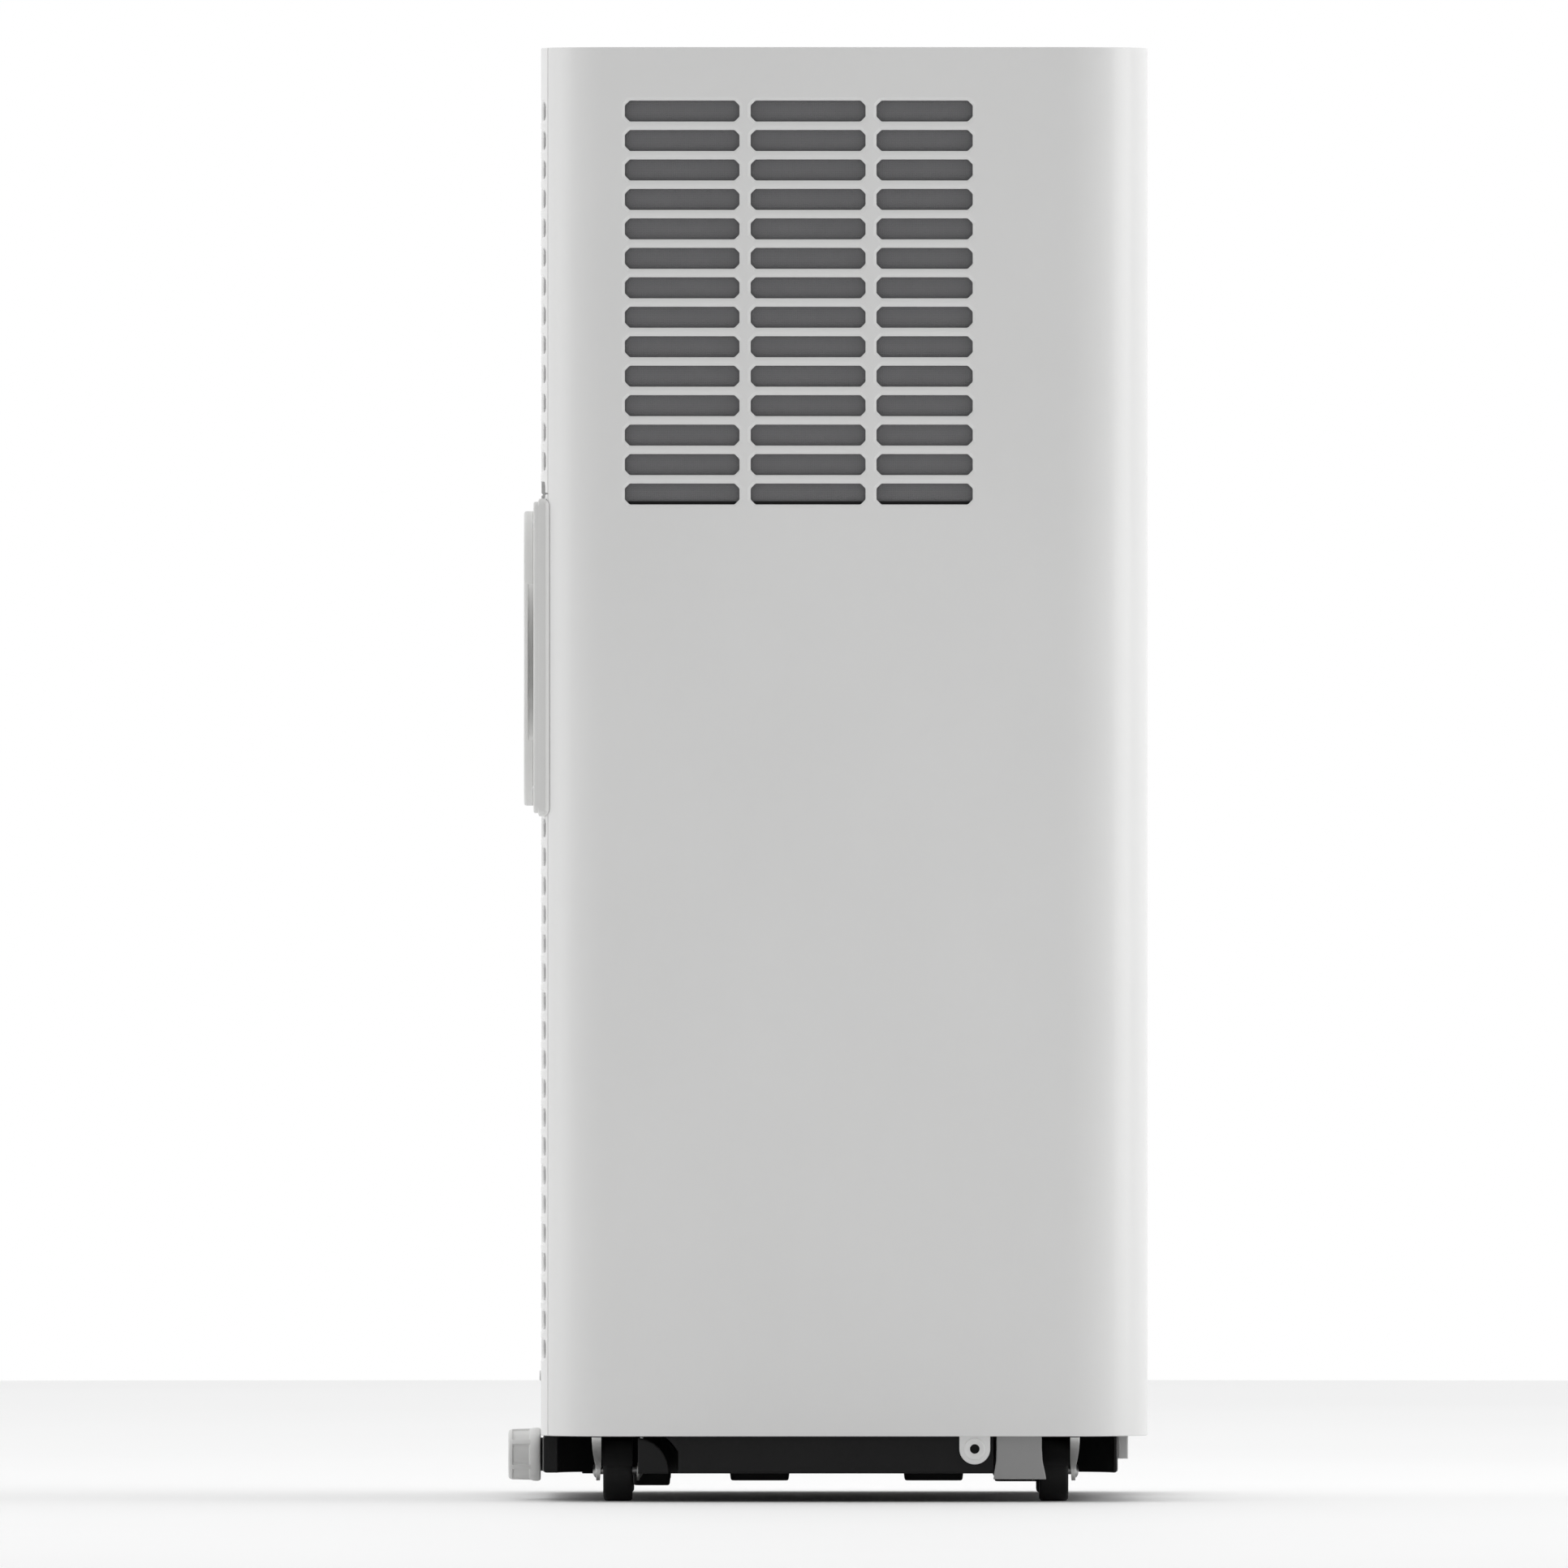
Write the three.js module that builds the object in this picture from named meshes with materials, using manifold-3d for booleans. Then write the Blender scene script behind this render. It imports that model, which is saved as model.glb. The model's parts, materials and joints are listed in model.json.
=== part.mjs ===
// A portable room air conditioner on four casters: a tall white casing with a cool-air louvre at
// the front, intake grilles on the sides and the back, and a warm-air exhaust port at the back.
// Millimetres. The floor is Z = 0, the front faces -Y, and X = 0 is the middle of the width.
import * as THREE from 'three';
import { mergeVertices } from 'three/addons/utils/BufferGeometryUtils.js';
import Module from 'manifold-3d';

const wasm = await Module();
wasm.setup();

// ---- Driving dimensions ----------------------------------------------------------------------

const HEIGHT = 695;
const SIDE_X = 165;
const FRONT_Y = -153.1;
const BACK_Y = 137.2;
const PANEL_Z = 31.4;
const WALL = 2.5;
const GAP = 0.3;
const FRONT_RADIUS = 40;
const BACK_RADIUS = 35;
const BACK_SEAM_DEG = 25;
const FRONT_SEAM_X = 122;
const COVER_THICK = 4;
const HOOK = { halfWidth: 25, tipY: -144.6, backY: -139.5, tipZ: 18.6, shelfZ: 34, topZ: 37 };

const SIDE_GRILLE = { rows: 14, topZ: 669.4, pitch: 14.07, slot: 10 };
const SIDE_COLUMNS = [[42.2, 96.9], [-18, 36.8], [-69.2, -23.3]];
const BACK_GRILLE = { halfWidth: 141.6, columns: 4, rib: 5.2, slot: 8.7 };
const UPPER_ROWS = { rows: 14, topZ: 669, pitch: 13.95 };
const LOWER_ROWS = { rows: 19, topZ: 326.4, pitch: 13.85 };

const DOOR_Z = 482.1;
const TAB = { halfWidth: 16, z0: 671.7, z1: 682.6, proud: 3.2 };

const SIDE_FILTER = { y0: -76, y1: 101, z0: 474, z1: 674, thick: 2.6 };
const BACK_FILTER = { halfWidth: 126, y0: 128, y1: 131, z0: 490, z1: 684 };

const PORT_Z = 403.5;
const PORT_BORE = 57;
const PORT_OPENING = 60;
const FRAME = { z0: 329.1, z1: 477.9, proud: 3.5, halfWidth: 145.3, sideDepth: 7 };
const ADAPTER = { z0: 332.6, z1: 474, halfWidth: 75, outerY: 145.7, corner: 22 };
const GRIP = { z0: 364, z1: 439, depth: 8 };

const OUTLET = { z: 632, halfWidth: 102, halfHeight: 30, backY: -108 };
const BEZEL = { flange: 6, flangeThick: 2.5, wall: 2.5, setBack: 0.2 };
const BLADE = { count: 3, pitch: 18, y: -143, chord: 17, thick: 3, nose: 1.5, linkX: 90, pinY: -135.5 };
const VANE = { count: 3, pitch: 60, y: -119, chord: 16, thick: 1.8, linkZ: 614, pinY: -112.4 };
const LINK = { halfWidth: 2.6, halfThick: 1.5, overrun: 4 };
const PIVOT_R = 1.5;
const PIN_R = 1.2;

const BASE = { halfWidth: 160, frontY: -138.8, backY: 136.4, z0: 13.6, z1: 52, wall: 3, corner: 33 };
const WHEEL = { r: 14.7, halfWidth: 7, bore: 2.1, trail: 9 };
const SWIVEL = { x: 133, frontY: -108.1, backY: 100.4 };
const WELL = { r: 29, topZ: 35 };
const FORK = { crownR: 12, crownZ: 30.9, topZ: 33, armIn: 8, armOut: 10.2, stemR: 4 };
const AXLE = { r: 2, headR: 3.6, headIn: 10.5, headOut: 12 };
const FEET = {
  x0: 62, x1: 98, rows: [[18.6, 46.5, 9.3], [-64.7, -36.8, 9.3], [-104.6, -79.9, 8.9], [75.6, 93, 7]],
};
const SKIRT = { tipY: [-104.3, -79.1], topY: [-102.2, -80.6], tipZ: 10.9, flareZ: 20, topZ: 46 };
const DRAIN = { x: -70, z: 21.5, boreR: 5, spoutR: 8, skirtR: 8.6, capR: 12.8, capY0: 137.6, capY1: 153.1 };
const LUG = { y: -70.2, z: 25.4, r: 7.4, hole: 2.3 };

const FASCIA = { halfWidth: 76, y0: -134, y1: -92, topZ: 694.6, thick: 1.4 };
const LENS = { halfWidth: 24, halfDepth: 11 };
const BUTTON = { r: 6, collar: 1.5, y: -113, xs: [-60, -40, 40, 60] };
const BOARD = { halfWidth: 80, y0: -138, y1: -88, z0: 681, z1: 682.6 };

const COOL = { z: 575, x: 0, wheelR: 72, housingR: 84, motorR: 28 };
const HEAT = { z: 215, x: 35, wheelR: 80, housingR: 92, motorR: 32 };
const FAN_Y = { wallFront: 25, wallBack: 28, wheel0: 36, wheel1: 86, housingBack: 94 };
const DUCT = { z0: 606, z1: 662, halfWidth: 100 };
const DRIP_MOUTH = { halfWidth: 40, z0: 486.5, z1: 505 };
const EXHAUST_DUCT = { halfWidth: 66, topZ: 472 };
const BULKHEAD = { halfWidth: 148, topZ: 476 };

const COMPRESSOR = { x: -80, y: -58, r: 52, z0: 44, z1: 250, footRing: 62, footR: 10 };
const ACCUMULATOR = { x: -2, y: -84, r: 21, z0: 82, z1: 214 };
const EVAPORATOR = { halfWidth: 120, y0: 97, y1: 125, z0: 492, z1: 680 };
const CONDENSER = { halfWidth: 128, y0: 97, y1: 125, z0: 56, z1: 316 };
const TRAY = { halfWidth: 146, y0: -136, y1: 127, z0: 479, z1: 486, wall: 2 };
const ELECTRICAL_BOX = { x0: 38, x1: 148, y0: -142, y1: -62, z0: 330, z1: 468, wall: 2 };
const CAPACITOR = { x: 92, y: -102, r: 20, topZ: 410 };

// ---- Materials --------------------------------------------------------------------------------

const finish = (color, roughness, metalness = 0) => ({ color, roughness, metalness });
const WHITE = finish(0xe4e4e3, 0.35);
const SATIN_WHITE = finish(0xdededc, 0.5);
const GREY = finish(0x8a8c8d, 0.5);
const BLACK = finish(0x1c1c1d, 0.55);
const GLOSS_BLACK = finish(0x111214, 0.12);
const RUBBER = finish(0x202021, 0.85);
const ZINC = finish(0xb9bbbd, 0.35, 1);
const STEEL = finish(0x9a9da0, 0.4, 1);
const COPPER = finish(0xb5683f, 0.35, 1);
const FINS = finish(0xa9aeb2, 0.45, 1);
const MESH_GREY = finish(0x55575a, 0.8);
const BOARD_GREEN = finish(0x1f5a3a, 0.6);
const LIGHT_GREY = finish(0xbfc0c0, 0.5);

// ---- Solids -----------------------------------------------------------------------------------

// A closed three.js geometry as a manifold solid, with its faces turned outwards.
function solid(geometry) {
  const bare = geometry.clone();
  bare.deleteAttribute('normal');
  bare.deleteAttribute('uv');
  const merged = mergeVertices(bare, 1e-4);
  const points = merged.attributes.position.array;
  const corner = (i) => new THREE.Vector3().fromArray(points, 3 * i);
  const triangles = [];
  let volume = 0;
  for (let i = 0; i < merged.index.count; i += 3) {
    const [a, b, c] = [0, 1, 2].map((k) => merged.index.array[i + k]);
    if (a === b || b === c || a === c) continue;
    triangles.push([a, b, c]);
    volume += corner(a).dot(corner(b).cross(corner(c)));
  }
  const facing = volume > 0 ? triangles : triangles.map(([a, b, c]) => [a, c, b]);
  return new wasm.Manifold(new wasm.Mesh({
    numProp: 3,
    vertProperties: Float32Array.from(points),
    triVerts: Uint32Array.from(facing.flat()),
  }));
}

const join = (first, ...others) => others.reduce((whole, piece) => whole.add(piece), first);
const cut = (first, ...tools) => tools.reduce((whole, tool) => whole.subtract(tool), first);

function block(x0, x1, y0, y1, z0, z1) {
  const box = new THREE.BoxGeometry(x1 - x0, y1 - y0, z1 - z0);
  return solid(box.translate((x0 + x1) / 2, (y0 + y1) / 2, (z0 + z1) / 2));
}

// Rotations that carry a shape's own (across, up, depth) to the part's axes.
const SHAPE_AXES = {
  x: new THREE.Matrix4().makeBasis(
    new THREE.Vector3(0, 1, 0), new THREE.Vector3(0, 0, 1), new THREE.Vector3(1, 0, 0)),
  y: new THREE.Matrix4().makeBasis(
    new THREE.Vector3(1, 0, 0), new THREE.Vector3(0, 0, 1), new THREE.Vector3(0, -1, 0)),
  z: new THREE.Matrix4(),
};

// A flat outline pushed along an axis. The outline is in (Y, Z), (X, Z) or (X, Y).
function prism(outline, axis, from, to) {
  const shape = new THREE.Shape(outline.map(([u, v]) => new THREE.Vector2(u, v)));
  const geometry = new THREE.ExtrudeGeometry(shape, { depth: to - from, bevelEnabled: false });
  geometry.applyMatrix4(SHAPE_AXES[axis]);
  const shift = new THREE.Vector3();
  shift[axis] = axis === 'y' ? to : from;
  return solid(geometry.translate(shift.x, shift.y, shift.z));
}

// A round bar along an axis; centre holds the two other coordinates in X, Y, Z order.
function rod(axis, [u, v], radius, from, to, sides = 16) {
  const geometry = new THREE.CylinderGeometry(radius, radius, to - from, sides);
  const middle = (from + to) / 2;
  if (axis === 'x') geometry.rotateZ(Math.PI / 2).translate(middle, u, v);
  if (axis === 'y') geometry.translate(u, middle, v);
  if (axis === 'z') geometry.rotateX(Math.PI / 2).translate(u, v, middle);
  return solid(geometry);
}

// A turned piece about an upright line at (x, y); the profile is [radius, height] pairs.
function turned(profile, x, y, sides = 20) {
  const points = profile.map(([r, h]) => new THREE.Vector2(r, h));
  const geometry = new THREE.LatheGeometry(points, sides);
  return solid(geometry.rotateX(Math.PI / 2).translate(x, y, 0));
}

// A bent tube through the given points.
function tube(points, radius, steps = 18, sides = 6) {
  const stops = points.map((point) => new THREE.Vector3(...point));
  const path = new THREE.CatmullRomCurve3(stops, false, 'centripetal');
  const section = new THREE.Shape();
  for (let i = 0; i < sides; i += 1) {
    const angle = (2 * Math.PI * i) / sides;
    const place = [radius * Math.cos(angle), radius * Math.sin(angle)];
    if (i === 0) section.moveTo(...place);
    else section.lineTo(...place);
  }
  return solid(new THREE.ExtrudeGeometry(section, { steps, extrudePath: path, bevelEnabled: false }));
}

const radians = THREE.MathUtils.degToRad;

// Points of an arc about (u, v), by angle in degrees from +v towards +u.
function arc(u, v, radius, from, to, steps) {
  return Array.from({ length: steps + 1 }, (_, i) => {
    const angle = radians(from + ((to - from) * i) / steps);
    return [u + radius * Math.sin(angle), v + radius * Math.cos(angle)];
  });
}

function roundedOutline(u0, u1, v0, v1, radius, steps = 3) {
  return [
    ...arc(u1 - radius, v1 - radius, radius, 0, 90, steps),
    ...arc(u1 - radius, v0 + radius, radius, 90, 180, steps),
    ...arc(u0 + radius, v0 + radius, radius, 180, 270, steps),
    ...arc(u0 + radius, v1 - radius, radius, 270, 360, steps),
  ];
}

const model = new THREE.Group();

function part(name, piece, look) {
  const { vertProperties, triVerts } = piece.getMesh();
  const geometry = new THREE.BufferGeometry();
  geometry.setAttribute('position', new THREE.BufferAttribute(new Float32Array(vertProperties), 3));
  geometry.setIndex(new THREE.BufferAttribute(new Uint32Array(triVerts), 1));
  const mesh = new THREE.Mesh(geometry, new THREE.MeshStandardMaterial(look));
  mesh.name = name;
  model.add(mesh);
}

const SIDES = [['left', -1], ['right', 1]];

// ---- Casing -----------------------------------------------------------------------------------

const BACK_CENTRE = { x: SIDE_X - BACK_RADIUS, y: BACK_Y - BACK_RADIUS };
const FRONT_CENTRE = { x: SIDE_X - FRONT_RADIUS, y: FRONT_Y + FRONT_RADIUS };

// The plan of one side wall at a depth inside the outer face, from the back seam to the front one.
function sidePath(side, depth) {
  const seam = BACK_SEAM_DEG + THREE.MathUtils.radToDeg(GAP / BACK_RADIUS);
  const right = [
    ...arc(BACK_CENTRE.x, BACK_CENTRE.y, BACK_RADIUS - depth, seam, 90, 4),
    ...arc(FRONT_CENTRE.x, FRONT_CENTRE.y, FRONT_RADIUS - depth, 90, 180, 6),
    [FRONT_SEAM_X, FRONT_Y + depth],
  ];
  return right.map(([x, y]) => [side * x, y]);
}

// The plan of a wall across the back that wraps both corners by an angle.
function backPath(depth, wrap) {
  const right = arc(BACK_CENTRE.x, BACK_CENTRE.y, BACK_RADIUS - depth, 0, wrap, 1);
  const left = right.map(([x, y]) => [-x, y]).reverse();
  return [...left, ...right];
}

function backBand(outer, inner, wrap, z0, z1) {
  return prism([...backPath(outer, wrap), ...backPath(inner, wrap).reverse()], 'z', z0, z1);
}

function sideSlots(side) {
  const inner = side < 0 ? -SIDE_X - 1 : SIDE_X - WALL - 1;
  const { rows, topZ, pitch, slot } = SIDE_GRILLE;
  const slots = [];
  for (let row = 0; row < rows; row += 1) {
    const z1 = topZ - row * pitch;
    for (const [y0, y1] of SIDE_COLUMNS) {
      slots.push(block(inner, inner + WALL + 2, y0, y1, z1 - slot, z1));
    }
  }
  return slots;
}

function backSlots({ rows, topZ, pitch }) {
  const { halfWidth, columns, rib, slot } = BACK_GRILLE;
  const width = (2 * halfWidth - (columns - 1) * rib) / columns;
  const slots = [];
  for (let row = 0; row < rows; row += 1) {
    const z1 = topZ - row * pitch;
    for (let column = 0; column < columns; column += 1) {
      const x0 = -halfWidth + column * (width + rib);
      slots.push(block(x0, x0 + width, BACK_Y - 9, BACK_Y + 2, z1 - slot, z1));
    }
  }
  return slots;
}

// A screw lug hangs below each side panel and lies against the base.
function sidePanel(side) {
  const outline = [...sidePath(side, 0), ...sidePath(side, WALL).reverse()];
  const shell = prism(outline, 'z', PANEL_Z, HEIGHT);
  const inner = BASE.halfWidth + GAP;
  const outer = SIDE_X - WALL + 1;
  const [x0, x1] = side < 0 ? [-outer, -inner] : [inner, outer];
  const tongue = join(
    rod('x', [LUG.y, LUG.z], LUG.r, x0, x1),
    block(x0, x1, LUG.y - LUG.r, LUG.y + LUG.r, LUG.z, PANEL_Z + 8),
  );
  const hole = rod('x', [LUG.y, LUG.z], LUG.hole, x0 - 1, x1 + 1, 10);
  return cut(join(shell, tongue), hole, ...sideSlots(side));
}

// A hook on the back of the panel drops in front of the base.
function frontPanel() {
  const edge = FRONT_SEAM_X - GAP;
  const margin = BEZEL.flange + GAP;
  const cutout = { x: OUTLET.halfWidth + margin, z: OUTLET.halfHeight + margin };
  const sheet = block(-edge, edge, FRONT_Y, FRONT_Y + WALL, PANEL_Z, HEIGHT);
  const opening = block(
    -cutout.x, cutout.x, FRONT_Y - 1, FRONT_Y + WALL + 1, OUTLET.z - cutout.z, OUTLET.z + cutout.z);
  const { halfWidth, tipY, backY, tipZ, shelfZ, topZ } = HOOK;
  const shelf = block(-halfWidth, halfWidth, FRONT_Y + 1, backY, shelfZ, topZ);
  const tongue = block(-halfWidth, halfWidth, tipY, backY, tipZ, topZ);
  return join(cut(sheet, opening), shelf, tongue);
}

function filterDoor() {
  const skin = backBand(0, WALL, BACK_SEAM_DEG, DOOR_Z, HEIGHT);
  const tab = block(-TAB.halfWidth, TAB.halfWidth, BACK_Y - 1, BACK_Y + TAB.proud, TAB.z0, TAB.z1);
  return join(cut(skin, ...backSlots(UPPER_ROWS)), tab);
}

function backPanel() {
  const skin = backBand(0, WALL, BACK_SEAM_DEG, PANEL_Z, DOOR_Z - 2 * GAP);
  const port = rod('y', [0, PORT_Z], PORT_OPENING, BACK_Y - 10, BACK_Y + 2, 24);
  return cut(skin, port, ...backSlots(LOWER_ROWS));
}

// The lid lies inside the rim of the panels, flush with their top edge.
function topCover() {
  const depth = WALL + GAP;
  const corners = (side) => [
    ...arc(BACK_CENTRE.x, BACK_CENTRE.y, BACK_RADIUS - depth, 0, BACK_SEAM_DEG, 1),
    ...arc(BACK_CENTRE.x, BACK_CENTRE.y, BACK_RADIUS - depth, BACK_SEAM_DEG + 1, 90, 4),
    ...arc(FRONT_CENTRE.x, FRONT_CENTRE.y, FRONT_RADIUS - depth, 90, 180, 6),
  ].map(([x, y]) => [side * x, y]);
  const plate = prism([...corners(1), ...corners(-1).reverse()], 'z', HEIGHT - COVER_THICK, HEIGHT);
  const { halfWidth, y0, y1, topZ, thick } = FASCIA;
  const recess = block(
    -halfWidth - GAP, halfWidth + GAP, y0 - GAP, y1 + GAP, topZ - thick - GAP, HEIGHT + 1);
  const holes = BUTTON.xs.map((x) => rod('z', [x, BUTTON.y], BUTTON.r + GAP, HEIGHT - 6, HEIGHT, 12));
  return cut(plate, recess, ...holes);
}

for (const [label, side] of SIDES) part(`side_panel_${label}`, sidePanel(side), WHITE);
part('front_panel', frontPanel(), WHITE);
part('back_panel', backPanel(), WHITE);
part('filter_door', filterDoor(), WHITE);
part('top_cover', topCover(), WHITE);

// ---- Air filters ------------------------------------------------------------------------------

// Each screen is a flat sheet: its mesh is too fine to cut as holes.
for (const [label, side] of SIDES) {
  const { y0, y1, z0, z1, thick } = SIDE_FILTER;
  const near = side * (SIDE_X - WALL - GAP);
  const far = near - side * thick;
  part(`side_filter_${label}`, block(Math.min(near, far), Math.max(near, far), y0, y1, z0, z1), MESH_GREY);
}
part('back_filter', block(
  -BACK_FILTER.halfWidth, BACK_FILTER.halfWidth, BACK_FILTER.y0, BACK_FILTER.y1, BACK_FILTER.z0,
  BACK_FILTER.z1), MESH_GREY);

// ---- Control panel ----------------------------------------------------------------------------

function fascia() {
  const { halfWidth, y0, y1, topZ, thick } = FASCIA;
  const plate = block(-halfWidth, halfWidth, y0, y1, topZ - thick, topZ);
  const window = block(
    -LENS.halfWidth - GAP, LENS.halfWidth + GAP, BUTTON.y - LENS.halfDepth - GAP,
    BUTTON.y + LENS.halfDepth + GAP, topZ - 2, topZ + 1);
  const holes = BUTTON.xs.map((x) => rod('z', [x, BUTTON.y], BUTTON.r + GAP, topZ - 2, topZ + 1, 12));
  return cut(plate, window, ...holes);
}

// A round key with a collar under the lid that stops it from lifting out.
function button(x) {
  const at = [x, BUTTON.y];
  const cap = rod('z', at, BUTTON.r, HEIGHT - 5, HEIGHT, 12);
  return join(cap, rod('z', at, BUTTON.r + BUTTON.collar, HEIGHT - 6.2, HEIGHT - 4.4, 12));
}

part('control_fascia', fascia(), GLOSS_BLACK);
part('display_lens', block(
  -LENS.halfWidth, LENS.halfWidth, BUTTON.y - LENS.halfDepth, BUTTON.y + LENS.halfDepth,
  FASCIA.topZ - FASCIA.thick, FASCIA.topZ), GLOSS_BLACK);
['power', 'mode', 'down', 'up'].forEach((label, i) => {
  part(`button_${label}`, button(BUTTON.xs[i]), LIGHT_GREY);
});
part('control_board', block(
  -BOARD.halfWidth, BOARD.halfWidth, BOARD.y0, BOARD.y1, BOARD.z0, BOARD.z1), BOARD_GREEN);

// ---- Cool-air outlet --------------------------------------------------------------------------

const bladeHeights = Array.from(
  { length: BLADE.count }, (_, i) => OUTLET.z + (i - (BLADE.count - 1) / 2) * BLADE.pitch);
const vanePlaces = Array.from(
  { length: VANE.count }, (_, i) => (i - (VANE.count - 1) / 2) * VANE.pitch);

function outletBezel() {
  const { z, halfWidth, halfHeight, backY } = OUTLET;
  const frame = (grow, y0, y1) => block(
    -halfWidth - grow, halfWidth + grow, y0, y1, z - halfHeight - grow, z + halfHeight + grow);
  const face = FRONT_Y + BEZEL.setBack;
  const duct = join(
    frame(BEZEL.wall, face, backY), frame(BEZEL.flange, face, face + BEZEL.flangeThick));
  const pivots = [
    ...bladeHeights.map((h) => rod('x', [BLADE.y, h], PIVOT_R + GAP, -110, 110, 8)),
    ...vanePlaces.map((x) => rod('z', [x, VANE.y], PIVOT_R + GAP, z - 40, z + 40, 8)),
  ];
  return cut(duct, frame(0, FRONT_Y - 1, backY + 1), ...pivots);
}

// A level blade: a slim rounded section with a pivot pin at each end and a crank pin at its back.
function blade(z) {
  const { y, chord, thick, nose, linkX, pinY } = BLADE;
  const [front, rear] = [y - chord / 2, y + chord / 2];
  const section = [
    [front, z], [front + nose, z + thick / 2], [y + 3, z + thick / 2],
    [rear, z + 0.8], [rear, z - 0.8], [y + 3, z - thick / 2],
    [front + nose, z - thick / 2],
  ];
  const body = prism(section, 'x', -OUTLET.halfWidth + 1, OUTLET.halfWidth - 1);
  const notch = block(linkX - 3, linkX + 3, y + 3.5, y + chord, z - 5, z + 5);
  const reach = OUTLET.halfWidth + 2;
  return join(
    cut(body, notch),
    rod('x', [pinY, z], PIN_R, linkX - 4, linkX + 4, 8),
    rod('x', [y, z], PIVOT_R, -reach, reach, 8),
  );
}

// The bar that joins the crank pins of the blades, with an eye for each.
function bladeLink() {
  const { linkX, pinY } = BLADE;
  const { halfWidth, halfThick, overrun } = LINK;
  const ends = [bladeHeights[0] - overrun, bladeHeights.at(-1) + overrun];
  const bar = block(linkX - halfThick, linkX + halfThick, pinY - halfWidth, pinY + halfWidth, ...ends);
  const eyes = bladeHeights.map((z) => rod('x', [pinY, z], PIN_R + GAP, linkX - 3, linkX + 3, 8));
  return cut(bar, ...eyes);
}

// An upright vane behind the blades, with the same pivots and crank pin as they have.
function vane(x) {
  const { y, chord, thick, linkZ, pinY } = VANE;
  const { z, halfHeight } = OUTLET;
  const body = block(
    x - thick / 2, x + thick / 2, y - chord / 2, y + chord / 2, z - halfHeight + 1, z + halfHeight - 1);
  const notch = block(x - 3, x + 3, y + 2.5, y + chord, linkZ - 3, linkZ + 3);
  const spine = rod('z', [x, y], PIVOT_R, z - halfHeight - 2, z + halfHeight + 2, 8);
  return join(cut(body, notch), spine, rod('z', [x, pinY], PIN_R, linkZ - 4, linkZ + 4, 8));
}

function vaneLink() {
  const { linkZ, pinY } = VANE;
  const { halfWidth, halfThick, overrun } = LINK;
  const ends = [vanePlaces[0] - overrun, vanePlaces.at(-1) + overrun];
  const bar = block(...ends, pinY - halfWidth, pinY + halfWidth, linkZ - halfThick, linkZ + halfThick);
  const eyes = vanePlaces.map((x) => rod('z', [x, pinY], PIN_R + GAP, linkZ - 3, linkZ + 3, 8));
  return cut(bar, ...eyes);
}

part('outlet_bezel', outletBezel(), SATIN_WHITE);
bladeHeights.forEach((z, i) => part(`louvre_blade_${i + 1}`, blade(z), WHITE));
part('louvre_link', bladeLink(), SATIN_WHITE);
vanePlaces.forEach((x, i) => part(`air_vane_${i + 1}`, vane(x), SATIN_WHITE));
part('vane_link', vaneLink(), SATIN_WHITE);

// ---- Exhaust port -----------------------------------------------------------------------------

// A flat-backed plate round the port, with sides that reach down to the bent corners of the casing.
function exhaustFrame() {
  const { z0, z1, proud, halfWidth, sideDepth } = FRAME;
  const right = arc(BACK_CENTRE.x, BACK_CENTRE.y, BACK_RADIUS + GAP, 0, 50, 8);
  const left = right.map(([x, y]) => [-x, y]).reverse();
  const casing = prism([...left, ...right], 'z', z0 - 1, z1 + 1);
  const plate = block(-halfWidth, halfWidth, BACK_Y - sideDepth, BACK_Y + proud, z0, z1);
  return cut(plate, casing, rod('y', [0, PORT_Z], PORT_OPENING, BACK_Y - 10, BACK_Y + 10, 24));
}

// A collar that takes the hose, with a scooped finger grip on each side.
function exhaustAdapter() {
  const { z0, z1, halfWidth, outerY, corner } = ADAPTER;
  const innerY = BACK_Y + FRAME.proud + GAP;
  const plate = prism(roundedOutline(-halfWidth, halfWidth, z0, z1, corner, 4), 'y', innerY, outerY);
  const spigot = rod('y', [0, PORT_Z], PORT_BORE + 2.5, BACK_Y - 12, innerY + 1, 24);
  const bore = rod('y', [0, PORT_Z], PORT_BORE, BACK_Y - 14, outerY + 1, 24);
  const halfGrip = (GRIP.z1 - GRIP.z0) / 2;
  const scoopR = (halfGrip ** 2 + GRIP.depth ** 2) / (2 * GRIP.depth);
  const scoopX = halfWidth - GRIP.depth + scoopR;
  const scoops = [-1, 1].map((side) => rod(
    'y', [side * scoopX, (GRIP.z0 + GRIP.z1) / 2], scoopR, innerY - 1, outerY + 1, 48));
  return cut(join(plate, spigot), bore, ...scoops);
}

part('exhaust_frame', exhaustFrame(), SATIN_WHITE);
part('exhaust_adapter', exhaustAdapter(), SATIN_WHITE);

// ---- Base -------------------------------------------------------------------------------------

const CASTERS = [
  ['back_left', -SWIVEL.x, SWIVEL.backY], ['back_right', SWIVEL.x, SWIVEL.backY],
  ['front_left', -SWIVEL.x, SWIVEL.frontY], ['front_right', SWIVEL.x, SWIVEL.frontY],
];
const compressorFeet = [90, 210, 330].map((angle) => [
  COMPRESSOR.x + COMPRESSOR.footRing * Math.cos(radians(angle)),
  COMPRESSOR.y + COMPRESSOR.footRing * Math.sin(radians(angle)),
]);

// The space a caster swivels in, open at the corner of the base; grow makes the wall around it.
function wheelWell([, x, y], grow) {
  const radius = WELL.r + grow;
  const outside = Math.sign(x) * (BASE.halfWidth + 5);
  const near = y - Math.sign(y) * radius;
  const corner = Math.sign(y) * (BACK_Y + 20);
  const round = rod('z', [x, y], radius, BASE.z0 - 10, WELL.topZ + grow, 16);
  const mouth = block(
    Math.min(x, outside), Math.max(x, outside), Math.min(near, corner), Math.max(near, corner),
    BASE.z0 - 10, WELL.topZ + grow);
  return join(round, mouth);
}

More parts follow.
